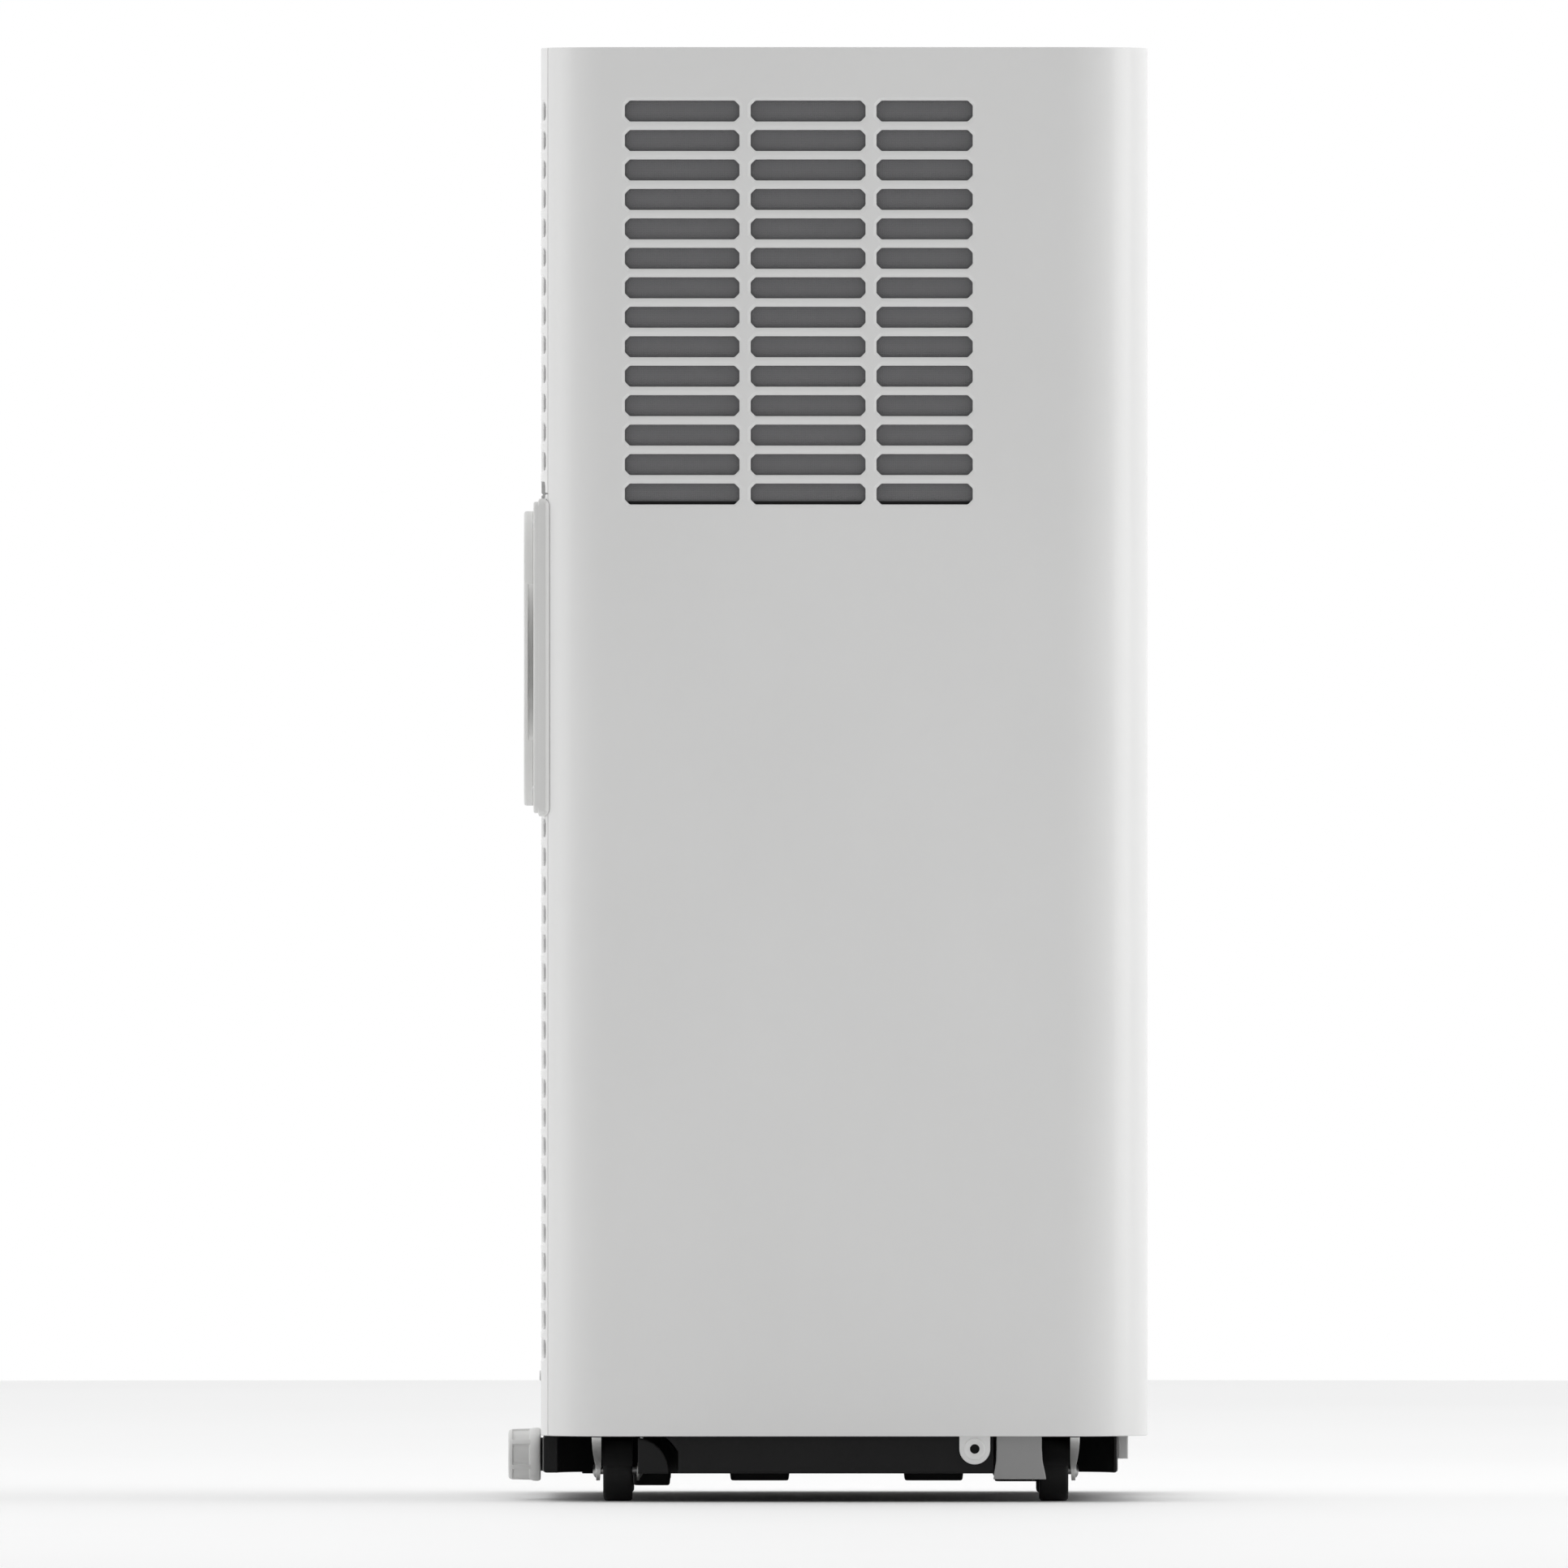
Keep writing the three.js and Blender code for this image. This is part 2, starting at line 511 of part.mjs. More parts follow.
// The tray that carries everything, with the caster sockets, the compressor bosses and the drain.
function basePan() {
  const { halfWidth, frontY, backY, z0, z1, wall, corner } = BASE;
  const upperBack = BACK_Y - WALL - 2 * GAP;
  const rim = (inset, back) => roundedOutline(
    -halfWidth + inset, halfWidth - inset, frontY + inset, back - inset, corner - inset, 3);
  const outer = join(
    prism(rim(0, backY), 'z', z0, PANEL_Z - GAP), prism(rim(0, upperBack), 'z', PANEL_Z - 1, z1));
  const walls = CASTERS.map((caster) => wheelWell(caster, wall));
  const hollow = cut(prism(rim(wall, upperBack), 'z', z0 + wall, z1 + 5), ...walls);
  const sockets = CASTERS.map(([, x, y]) => rod('z', [x, y], 9, WELL.topZ + 1, z1, 8));
  const bosses = compressorFeet.map(([x, y]) => rod('z', [x, y], 9, z0 + 1, COMPRESSOR.z0 - 4, 8));
  const feet = FEET.rows.flatMap(([y0, y1, bottom]) => [
    block(-FEET.x1, -FEET.x0, y0, y1, bottom, z0 + 1), block(FEET.x0, FEET.x1, y0, y1, bottom, z0 + 1),
  ]);
  const spout = rod('y', [DRAIN.x, DRAIN.z], DRAIN.spoutR, backY - 1, DRAIN.capY1 - 7, 16);
  const bore = rod('y', [DRAIN.x, DRAIN.z], DRAIN.boreR, backY - wall - 1, DRAIN.capY1, 16);
  const stems = CASTERS.map(([, x, y]) => rod('z', [x, y], FORK.stemR + GAP, z0, z1 + 1, 8));
  const wells = CASTERS.map((caster) => wheelWell(caster, 0));
  const pan = cut(join(cut(outer, hollow), ...sockets, ...bosses), ...wells);
  return cut(join(pan, ...feet, spout), bore, ...stems);
}

// A grey plate with a flared lower edge hangs from the base beside each front caster.
function skirtPlate(side) {
  const { tipY, topY, tipZ, flareZ, topZ } = SKIRT;
  const outline = [
    [tipY[1], tipZ], [tipY[0], tipZ], [topY[0], flareZ], [topY[0], topZ], [topY[1], topZ],
    [topY[1], flareZ],
  ];
  const near = side * (BASE.halfWidth + GAP);
  const far = side * (SIDE_X - WALL - GAP);
  return prism(outline, 'x', Math.min(near, far), Math.max(near, far));
}

// A crown and stem, with two arms that taper back to the axle.
function casterFork(x, y) {
  const inwards = -Math.sign(x);
  const axleX = x + inwards * WHEEL.trail;
  const { crownR, crownZ, topZ, armIn, armOut, stemR } = FORK;
  const arm = (from, to) => prism([
    [x - 11, topZ - 1], [x + 11, topZ - 1], [axleX + 5, WHEEL.r - 1], [axleX + 2.5, WHEEL.r - 5],
    [axleX - 2.5, WHEEL.r - 5], [axleX - 5, WHEEL.r - 1],
  ], 'y', from, to);
  const crown = rod('z', [x, y], crownR, crownZ, topZ, 12);
  const stem = rod('z', [x, y], stemR, topZ - 1, BASE.z1 - 2, 8);
  const axle = rod('y', [axleX, WHEEL.r], AXLE.r + GAP, y - 15, y + 15, 8);
  return cut(join(crown, stem, arm(y + armIn, y + armOut), arm(y - armOut, y - armIn)), axle);
}

// A tyre-like plastic roller with rounded shoulders, turned about its axle.
function casterWheel(x, y) {
  const { r, halfWidth, bore, trail } = WHEEL;
  const profile = [
    [bore, -halfWidth], [r - 1, -halfWidth], [r, 1 - halfWidth], [r, halfWidth - 1],
    [r - 1, halfWidth], [bore, halfWidth], [bore, -halfWidth],
  ].map(([radius, along]) => new THREE.Vector2(radius, along));
  return solid(new THREE.LatheGeometry(profile, 16).translate(x - Math.sign(x) * trail, y, r));
}

// A rivet with a head outside each arm of the fork.
function casterAxle(x, y) {
  const centre = [x - Math.sign(x) * WHEEL.trail, WHEEL.r];
  const { r, headR, headIn, headOut } = AXLE;
  return join(
    rod('y', centre, r, y - 11, y + 11, 8),
    rod('y', centre, headR, y + headIn, y + headOut, 8),
    rod('y', centre, headR, y - headOut, y - headIn, 8),
  );
}

// The drain cap's skirt runs over the spout, and its rim has flats for the fingers.
function drainCap() {
  const { x, z, skirtR, capR, capY0, capY1 } = DRAIN;
  const grip = rod('y', [x, z], capR - 0.6, capY0 + 2, capY1, 12);
  const collar = rod('y', [x, z], capR, capY0, capY0 + 3, 24);
  return cut(join(grip, collar), rod('y', [x, z], skirtR, capY0 - 1, capY1 - 3, 20));
}

// A rubber stopper in the spout, with a flange that the cap presses on its end.
function drainPlug() {
  const { x, z, boreR, spoutR, capY1 } = DRAIN;
  const shaft = rod('y', [x, z], boreR - 0.4, capY1 - 19, capY1 - 5, 12);
  return join(shaft, rod('y', [x, z], spoutR, capY1 - 6.4, capY1 - 3.4, 16));
}

part('base_pan', basePan(), BLACK);
for (const [label, side] of SIDES) part(`skirt_plate_${label}`, skirtPlate(side), GREY);
for (const [label, x, y] of CASTERS) {
  part(`caster_fork_${label}`, casterFork(x, y), ZINC);
  part(`caster_wheel_${label}`, casterWheel(x, y), BLACK);
  part(`caster_axle_${label}`, casterAxle(x, y), STEEL);
}
part('drain_plug', drainPlug(), RUBBER);
part('drain_cap', drainCap(), SATIN_WHITE);

// ---- Fans -------------------------------------------------------------------------------------

// A squirrel-cage wheel: a back disc with a hub and shaft, thin blades, and a ring round the mouth.
function blowerWheel({ x, z, wheelR }) {
  const { wheel0, wheel1, wallFront } = FAN_Y;
  const at = [x, z];
  const ring = cut(
    rod('y', at, wheelR, wheel1 - 3, wheel1, 24), rod('y', at, wheelR - 10, wheel1 - 4, wheel1 + 1, 24));
  const bladeCount = 12;
  const blades = Array.from({ length: bladeCount }, (_, i) => {
    const fin = new THREE.BoxGeometry(8.5, wheel1 - wheel0 - 1, 1.4);
    fin.rotateY(radians(28)).translate(wheelR - 5.4, (wheel0 + wheel1) / 2, 0);
    return solid(fin.rotateY((2 * Math.PI * i) / bladeCount).translate(x, 0, z));
  });
  const disc = rod('y', at, wheelR, wheel0, wheel0 + 2, 24);
  const hub = rod('y', at, 12, wheel0 + 1, wheel0 + 22, 12);
  const shaft = rod('y', at, 4, wallFront - 0.2, wheel0 + 1, 12);
  return join(disc, ring, hub, shaft, ...blades);
}

// A round can behind the bulkhead, with a flange at its face and a bearing cap at its end.
function blowerMotor({ x, z, motorR }) {
  const face = FAN_Y.wallFront - 3 * GAP;
  const can = rod('y', [x, z], motorR, face - 48, face - 4, 20);
  const flange = rod('y', [x, z], motorR * 0.7, face - 5, face, 16);
  return join(can, flange, rod('y', [x, z], 9, face - 56, face - 47, 12));
}

// Cool side: a drum round the wheel that opens to the evaporator, with a duct to the front louvre.
function coolHousing() {
  const { x, z, housingR } = COOL;
  const { wallFront, wallBack, housingBack } = FAN_Y;
  const { z0, z1, halfWidth } = DUCT;
  const ductFront = OUTLET.backY + GAP;
  const outer = join(
    rod('y', [x, z], housingR, wallFront, housingBack, 28),
    block(-halfWidth, halfWidth, ductFront, housingBack, z0, z1),
    block(-DRIP_MOUTH.halfWidth, DRIP_MOUTH.halfWidth, wallFront, housingBack, DRIP_MOUTH.z0, DRIP_MOUTH.z1),
  );
  const inner = join(
    rod('y', [x, z], housingR - WALL, wallBack, housingBack - WALL, 28),
    block(-halfWidth + WALL, halfWidth - WALL, ductFront - 1, housingBack - WALL, z0 + WALL, z1 - WALL),
    rod('y', [x, z], 58, housingBack - WALL - 1, housingBack + 1, 24),
    rod('y', [x, z], 6, wallFront - 1, wallBack + 1, 12),
    block(
      3 - DRIP_MOUTH.halfWidth, DRIP_MOUTH.halfWidth - 3, wallBack, housingBack + 1, DRIP_MOUTH.z0 - 6.5,
      DRIP_MOUTH.z1 - 3),
  );
  return cut(outer, inner);
}

// Warm side: a drum and an upright duct that turns back to the exhaust port, on a bulkhead wall.
function heatHousing() {
  const { x, z, housingR } = HEAT;
  const { wallFront, wallBack, housingBack } = FAN_Y;
  const { halfWidth, topZ } = EXHAUST_DUCT;
  const outer = join(
    rod('y', [x, z], housingR, wallFront, housingBack, 28),
    block(-halfWidth, halfWidth, wallFront, housingBack, z, topZ),
    rod('y', [0, PORT_Z], PORT_BORE + WALL, housingBack - 1, BACK_Y - 12.4, 24),
    block(-BULKHEAD.halfWidth, BULKHEAD.halfWidth, wallFront, wallBack, BASE.z1 + 1, BULKHEAD.topZ),
  );
  const inner = join(
    rod('y', [x, z], housingR - WALL, wallBack, housingBack - WALL, 28),
    block(-halfWidth + WALL, halfWidth - WALL, wallBack, housingBack - WALL, z, topZ - WALL),
    rod('y', [0, PORT_Z], PORT_BORE, housingBack - WALL - 1, BACK_Y, 24),
    rod('y', [x, z], 62, housingBack - WALL - 1, housingBack + 1, 24),
    rod('y', [x, z], 6, wallFront - 1, wallBack + 1, 12),
  );
  return cut(outer, inner);
}

for (const [label, fan, housing] of [['cool', COOL, coolHousing()], ['heat', HEAT, heatHousing()]]) {
  part(`${label}_blower_housing`, housing, BLACK);
  part(`${label}_blower_wheel`, blowerWheel(fan), BLACK);
  part(`${label}_blower_motor`, blowerMotor(fan), STEEL);
}

// ---- Refrigeration circuit --------------------------------------------------------------------

// A finned coil: the fin block, two end plates and a column of return bends at each end.
function coil({ halfWidth, y0, y1, z0, z1 }) {
  const plates = [-1, 1].map((side) => {
    const x = side * (halfWidth - 1);
    return block(x - 1, x + 1, y0 - 2, y1 + 1, z0 - 2, z1 + 2);
  });
  const bendCount = 4;
  const pitch = (z1 - z0) / bendCount;
  const middle = (y0 + y1) / 2;
  const bends = [-1, 1].flatMap((side) => Array.from({ length: bendCount }, (_, i) => {
    const z = z0 + pitch * (i + 0.5);
    const turn = side > 0 ? [0, 180] : [180, 360];
    const centre = [side * (halfWidth - 1), z];
    const outline = [...arc(...centre, 12, ...turn, 4), ...arc(...centre, 5, ...turn, 4).reverse()];
    return prism(outline, 'y', middle - 4, middle + 4);
  }));
  return join(block(-halfWidth + 2, halfWidth - 2, y0, y1, z0, z1), ...plates, ...bends);
}

// A domed can on a three-legged spider, with a terminal cover on top.
function compressor() {
  const { x, y, r, z0, z1, footRing, footR } = COMPRESSOR;
  const shell = turned([
    [0, z0], [r - 14, z0], [r - 3, z0 + 6], [r, z0 + 16], [r, z1 - 24], [r - 6, z1 - 9],
    [r - 22, z1], [0, z1],
  ], x, y, 16);
  const pads = compressorFeet.map(([fx, fy]) => rod('z', [fx, fy], footR, z0 - 3.6, z0 + 1, 12));
  const spider = compressorFeet.map(([fx, fy]) => {
    const arm = new THREE.BoxGeometry(footRing, 16, 3);
    arm.translate(footRing / 2, 0, 0).rotateZ(Math.atan2(fy - y, fx - x));
    return solid(arm.translate(x, y, z0 - 0.5));
  });
  return join(shell, ...pads, ...spider, rod('z', [x, y], 14, z1 - 1, z1 + 9, 12));
}

function accumulator() {
  const { x, y, r, z0, z1 } = ACCUMULATOR;
  return turned([[0, z0], [6, z0], [r, z0 + 14], [r, z1 - 14], [6, z1], [0, z1]], x, y, 16);
}

part('evaporator', coil(EVAPORATOR), FINS);
part('condenser', coil(CONDENSER), FINS);
part('compressor', compressor(), BLACK);
part('accumulator', accumulator(), BLACK);

const DISCHARGE_ROUTE = [
  [-112, -58, 260], [-134, -52, 274], [-153, -20, 288], [-154, 40, 290], [-153, 88, 284],
  [-146, 111, 268],
];
const SUCTION_ROUTE = [
  [-2, -84, ACCUMULATOR.z1 + GAP], [-2, -84, 250], [-20, -84, 300], [-100, -80, 330],
  [-152, -40, 370], [-153.5, 30, 430], [-153.5, 84, 490], [-146, 111, 530],
];
const CAPILLARY_ROUTE = [
  [146, 111, 100], [153, 96, 130], [153.5, 84, 300], [153.5, 84, 440], [153, 96, 500],
  [146, 111, 530],
];
part('discharge_tube', tube(DISCHARGE_ROUTE, 4), COPPER);
part('suction_tube', tube(SUCTION_ROUTE, 4, 26), COPPER);
part('capillary_tube', tube(CAPILLARY_ROUTE, 3), COPPER);

// An open tray under the evaporator that catches its water.
function dividerTray() {
  const { halfWidth, y0, y1, z0, z1, wall } = TRAY;
  const inner = block(-halfWidth + wall, halfWidth - wall, y0 + wall, y1 - wall, z0 + wall, z1 + 4);
  return cut(block(-halfWidth, halfWidth, y0, y1, z0, z1), inner);
}

// A sheet-metal box, open at the front, that holds the capacitor.
function electricalBox() {
  const { x0, x1, y0, y1, z0, z1, wall } = ELECTRICAL_BOX;
  const inner = block(x0 + wall, x1 - wall, y0 - wall, y1 - wall, z0 + wall, z1 - wall);
  return cut(block(x0, x1, y0, y1, z0, z1), inner);
}

function runCapacitor() {
  const { x, y, r, topZ } = CAPACITOR;
  return rod('z', [x, y], r, ELECTRICAL_BOX.z0 + ELECTRICAL_BOX.wall + GAP, topZ, 20);
}

part('divider_tray', dividerTray(), GREY);
part('electrical_box', electricalBox(), ZINC);
part('run_capacitor', runCapacitor(), LIGHT_GREY);

export default model;
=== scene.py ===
"""A portable air conditioner on casters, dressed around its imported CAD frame.

Lengths are in millimetres in the row frame, and become metres where a mesh is made.
"""

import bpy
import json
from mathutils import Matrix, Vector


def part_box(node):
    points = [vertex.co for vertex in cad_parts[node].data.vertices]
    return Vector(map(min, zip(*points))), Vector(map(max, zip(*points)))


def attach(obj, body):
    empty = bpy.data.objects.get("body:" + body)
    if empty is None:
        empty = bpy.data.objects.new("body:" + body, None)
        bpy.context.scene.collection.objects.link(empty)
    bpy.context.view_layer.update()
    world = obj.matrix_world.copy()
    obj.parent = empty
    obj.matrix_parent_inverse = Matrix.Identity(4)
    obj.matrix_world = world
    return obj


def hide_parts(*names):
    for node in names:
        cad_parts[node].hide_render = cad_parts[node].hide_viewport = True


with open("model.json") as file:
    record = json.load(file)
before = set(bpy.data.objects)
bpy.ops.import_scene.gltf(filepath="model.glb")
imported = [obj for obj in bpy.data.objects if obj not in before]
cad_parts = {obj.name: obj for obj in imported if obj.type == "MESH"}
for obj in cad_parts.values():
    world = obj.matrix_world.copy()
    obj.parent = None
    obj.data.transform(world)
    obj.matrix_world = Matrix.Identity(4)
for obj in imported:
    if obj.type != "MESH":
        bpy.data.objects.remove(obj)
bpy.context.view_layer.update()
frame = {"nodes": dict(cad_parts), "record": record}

import json
import math

import bmesh
import bpy
from mathutils import Matrix, Vector

MM = 0.001
CASING = "casing"
SIDES = (("left", -1), ("right", 1))


def span(node):
    """The lowest and highest corners of a CAD node, in millimetres."""
    low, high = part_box(node)
    return Vector(low) / MM, Vector(high) / MM


# ---- Driving dimensions, read from the frame -------------------------------------------------

shell_high = span("side_panel_right")[1]
front_low, front_high = span("front_panel")
back_low, back_high = span("back_panel")
door_low = span("filter_door")[0]

SIDE_X = shell_high.x
FRONT_Y = front_low.y
BACK_Y = back_high.y
TOP_Z = shell_high.z
PANEL_Z = back_low.z
WALL = 2.5
GAP = 0.3
FRONT_R = 40.0
BACK_R = 35.0
BACK_CENTRE = (SIDE_X - BACK_R, BACK_Y - BACK_R)
FRONT_CENTRE = (SIDE_X - FRONT_R, FRONT_Y + FRONT_R)
SEAM_DEG = 25.0
FRONT_SEAM_X = front_high.x + GAP

# ---- Camera -----------------------------------------------------------------------------------

FRAME_WIDTH = 748.8
AIM = Vector((-SIDE_X, 20.9, 343.0))
LENS = 1000.0
SENSOR = 36.0
CLIP_END_M = 100.0


def add_camera():
    data = bpy.data.cameras.new("camera")
    data.lens = LENS
    data.sensor_width = SENSOR
    data.clip_end = CLIP_END_M
    camera = bpy.data.objects.new("camera", data)
    bpy.context.collection.objects.link(camera)
    distance = FRAME_WIDTH * LENS / SENSOR
    camera.location = (AIM - Vector((distance, 0, 0))) * MM
    camera.rotation_euler = (math.radians(90), 0, math.radians(-90))
    bpy.context.scene.camera = camera


# ---- Materials --------------------------------------------------------------------------------


class Nodes:
    """A short way to write a node tree."""

    def __init__(self, name):
        self.material = bpy.data.materials.new(name)
        self.material.use_nodes = True
        self.tree = self.material.node_tree
        self.shader = self.tree.nodes["Principled BSDF"]
        self.where = self.tree.nodes.new("ShaderNodeTexCoord").outputs["Object"]

    def node(self, kind, **values):
        made = self.tree.nodes.new(kind)
        for key, value in values.items():
            if hasattr(made, key):
                setattr(made, key, value)
            else:
                made.inputs[key.replace("_", " ")].default_value = value
        return made

    def link(self, source, target):
        self.tree.links.new(source, target)

    def noise(self, scale, detail=3.0, stretch=None):
        texture = self.node("ShaderNodeTexNoise", Scale=scale, Detail=detail)
        where = self.where
        if stretch:
            mapping = self.node("ShaderNodeMapping")
            mapping.inputs["Scale"].default_value = stretch
            self.link(where, mapping.inputs["Vector"])
            where = mapping.outputs["Vector"]
        self.link(where, texture.inputs["Vector"])
        return texture.outputs["Fac"]

    def ramp(self, source, stops):
        ramp = self.node("ShaderNodeValToRGB")
        elements = ramp.color_ramp.elements
        while len(elements) < len(stops):
            elements.new(0.5)
        for element, (place, colour) in zip(elements, stops):
            element.position = place
            element.color = (*colour, 1.0)
        self.link(source, ramp.inputs["Fac"])
        return ramp.outputs["Color"]

    def scaled(self, source, low, high):
        scale = self.node("ShaderNodeMapRange")
        scale.inputs["To Min"].default_value = low
        scale.inputs["To Max"].default_value = high
        self.link(source, scale.inputs["Value"])
        return scale.outputs["Result"]

    def add(self, first, second, factor=1.0):
        total = self.node("ShaderNodeMath", operation="MULTIPLY_ADD")
        self.link(second, total.inputs[0])
        total.inputs[1].default_value = factor
        self.link(first, total.inputs[2])
        return total.outputs["Value"]

    def bump(self, height, distance, strength=1.0):
        bump = self.node("ShaderNodeBump", Strength=strength, Distance=distance)
        self.link(height, bump.inputs["Height"])
        self.link(bump.outputs["Normal"], self.shader.inputs["Normal"])

    def wear_and_highlight_edges(self, colour, wear_and_highlight, low=0.53, high=0.6):
        """Blend a colour towards a paler one on convex edges, found by pointiness: edge wear, and on
        plastics also a painted highlight along slot rims and panel edges.
        """
        pointed = self.node("ShaderNodeNewGeometry").outputs["Pointiness"]
        edge = self.node("ShaderNodeMapRange")
        edge.inputs["From Min"].default_value = low
        edge.inputs["From Max"].default_value = high
        self.link(pointed, edge.inputs["Value"])
        mix = self.node("ShaderNodeMix", data_type="RGBA")
        self.link(edge.outputs["Result"], mix.inputs["Factor"])
        self.link(colour, mix.inputs["A"])
        mix.inputs["B"].default_value = (*wear_and_highlight, 1.0)
        return mix.outputs["Result"]


def shade(colour, factor):
    return tuple(min(1.0, channel * factor) for channel in colour)


def plastic(name, colour, roughness, grain=2400.0, depth=2e-5, coat=0.0, spread=0.03, specular=0.5):
    """Moulded plastic: faint colour drift, fine grain, uneven gloss and slightly paler edges, which
    are edge wear and a painted highlight.
    """
    nodes = Nodes(name)
    drift = nodes.noise(9.0, 4.0)
    tone = nodes.ramp(drift, [(0.3, shade(colour, 1 - spread)), (0.7, shade(colour, 1 + spread))])
    # Convex edges painted 12% paler: edge wear, and a painted highlight standing in for the bright
    # rims round slots and along panel edges.
    wear_and_highlight = nodes.wear_and_highlight_edges(tone, shade(colour, 1.12))
    nodes.link(wear_and_highlight, nodes.shader.inputs["Base Color"])
    smear = nodes.noise(38.0, 5.0)
    nodes.link(nodes.scaled(smear, roughness * 0.85, roughness * 1.15),
        nodes.shader.inputs["Roughness"])
    fine = nodes.noise(grain, 2.0)
    ripple = nodes.noise(26.0, 1.0)
    nodes.bump(nodes.add(fine, ripple, 1.5), depth)
    nodes.shader.inputs["Specular IOR Level"].default_value = specular
    nodes.shader.inputs["Coat Weight"].default_value = coat
    nodes.shader.inputs["Coat Roughness"].default_value = 0.12
    return nodes.material


def metal(name, colour, roughness, stretch=(1.0, 1.0, 12.0), scale=260.0, depth=1.2e-5):
    """Metal with a drawn grain, blotches in its plating and brighter rubbed edges."""
    nodes = Nodes(name)
    nodes.shader.inputs["Metallic"].default_value = 1.0
    blotch = nodes.noise(70.0, 6.0)
    tone = nodes.ramp(blotch, [(0.3, shade(colour, 0.78)), (0.72, shade(colour, 1.08))])
    wear_and_highlight = nodes.wear_and_highlight_edges(tone, shade(colour, 1.35))
    nodes.link(wear_and_highlight, nodes.shader.inputs["Base Color"])
    grain = nodes.noise(scale, 3.0, stretch)
    nodes.link(nodes.scaled(grain, roughness * 0.7, roughness * 1.3),
        nodes.shader.inputs["Roughness"])
    nodes.bump(nodes.add(grain, blotch, 0.6), depth)
    return nodes.material


def matt_rubber(name, colour):
    nodes = Nodes(name)
    dust = nodes.noise(55.0, 8.0)
    tone = nodes.ramp(dust, [(0.35, colour), (0.8, shade(colour, 1.7))])
    nodes.link(tone, nodes.shader.inputs["Base Color"])
    nodes.link(nodes.scaled(dust, 0.6, 0.85), nodes.shader.inputs["Roughness"])
    nodes.bump(nodes.noise(1500.0, 2.0), 3e-5)
    return nodes.material


def woven_screen(name, colour, thread=0.9):
    """A fine screen: two crossed sets of threads, drawn in relief and in tone."""
    nodes = Nodes(name)
    places = nodes.node("ShaderNodeSeparateXYZ")
    nodes.link(nodes.where, places.inputs["Vector"])
    waves = []
    for axes in (("X", "Y"), ("Z",)):
        total = places.outputs[axes[0]]
        for other in axes[1:]:
            total = nodes.add(total, places.outputs[other])
        wave = nodes.node("ShaderNodeMath", operation="MULTIPLY")
        nodes.link(total, wave.inputs[0])
        wave.inputs[1].default_value = math.pi / (thread * MM)
        ridge = nodes.node("ShaderNodeMath", operation="SINE")
        nodes.link(wave.outputs["Value"], ridge.inputs[0])
        size = nodes.node("ShaderNodeMath", operation="ABSOLUTE")
        nodes.link(ridge.outputs["Value"], size.inputs[0])
        waves.append(size.outputs["Value"])
    taller = nodes.node("ShaderNodeMath", operation="MAXIMUM")
    nodes.link(waves[0], taller.inputs[0])
    nodes.link(waves[1], taller.inputs[1])
    weave = nodes.add(taller.outputs["Value"], nodes.noise(60.0, 4.0), 0.35)
    tone = nodes.ramp(weave, [(0.45, shade(colour, 0.55)), (1.1, shade(colour, 1.15))])
    nodes.link(tone, nodes.shader.inputs["Base Color"])
    nodes.link(nodes.scaled(weave, 0.75, 0.6), nodes.shader.inputs["Roughness"])
    nodes.bump(weave, 1.5e-4)
    return nodes.material


WHITE_TONE = (0.80, 0.80, 0.795)
SATIN_TONE = (0.76, 0.76, 0.75)

MATERIALS = {
    "white_shell": plastic("white_shell", WHITE_TONE, 0.3, coat=0.25, spread=0.012),
    "satin_white": plastic("satin_white", SATIN_TONE, 0.42, depth=3e-5, spread=0.015),
    "light_grey": plastic("light_grey", (0.52, 0.52, 0.52), 0.4),
    "grey_plastic": plastic("grey_plastic", (0.3, 0.3, 0.3), 0.42, depth=4e-5),
    "black_plastic": plastic("black_plastic", (0.0095, 0.0095, 0.0098), 0.55, grain=1800.0,
        depth=5e-5, spread=0.15,
                             specular=0.2),
    "gloss_black": plastic("gloss_black", (0.006, 0.006, 0.007), 0.12, depth=4e-6, coat=0.6,
        spread=0.1),
    "black_paint": plastic("black_paint", (0.012, 0.012, 0.013), 0.35, grain=900.0, depth=6e-5,
        spread=0.2),
    "rubber": matt_rubber("rubber", (0.014, 0.014, 0.014)),
    "zinc": metal("zinc", (0.62, 0.62, 0.61), 0.34),
    "steel": metal("steel", (0.5, 0.5, 0.5), 0.38),
    "copper": metal("copper", (0.78, 0.36, 0.2), 0.28),
    "fins": metal("fins", (0.66, 0.68, 0.69), 0.4, stretch=(1.0, 1.0, 30.0)),
    "filter_mesh": woven_screen("filter_mesh", (0.16, 0.16, 0.165)),
    "circuit_board": plastic("circuit_board", (0.012, 0.07, 0.03), 0.35, grain=500.0, depth=6e-5,
        spread=0.2),
}

# ---- Mesh building ----------------------------------------------------------------------------

CHAMFER = ((0.0, 1.0), (0.1, 0.8), (0.9, 0.05), (1.0, 0.0))
QUARTER = ((0.0, 1.0), (0.076, 0.617), (0.293, 0.293), (0.617, 0.076), (1.0, 0.0))


def arc_points(u, v, radius, start, end, steps):
    """Points of an arc about (u, v), by angle in degrees from +v towards +u."""
    angles = (math.radians(start + (end - start) * i / steps) for i in range(steps + 1))
    return [(u + radius * math.sin(a), v + radius * math.cos(a)) for a in angles]


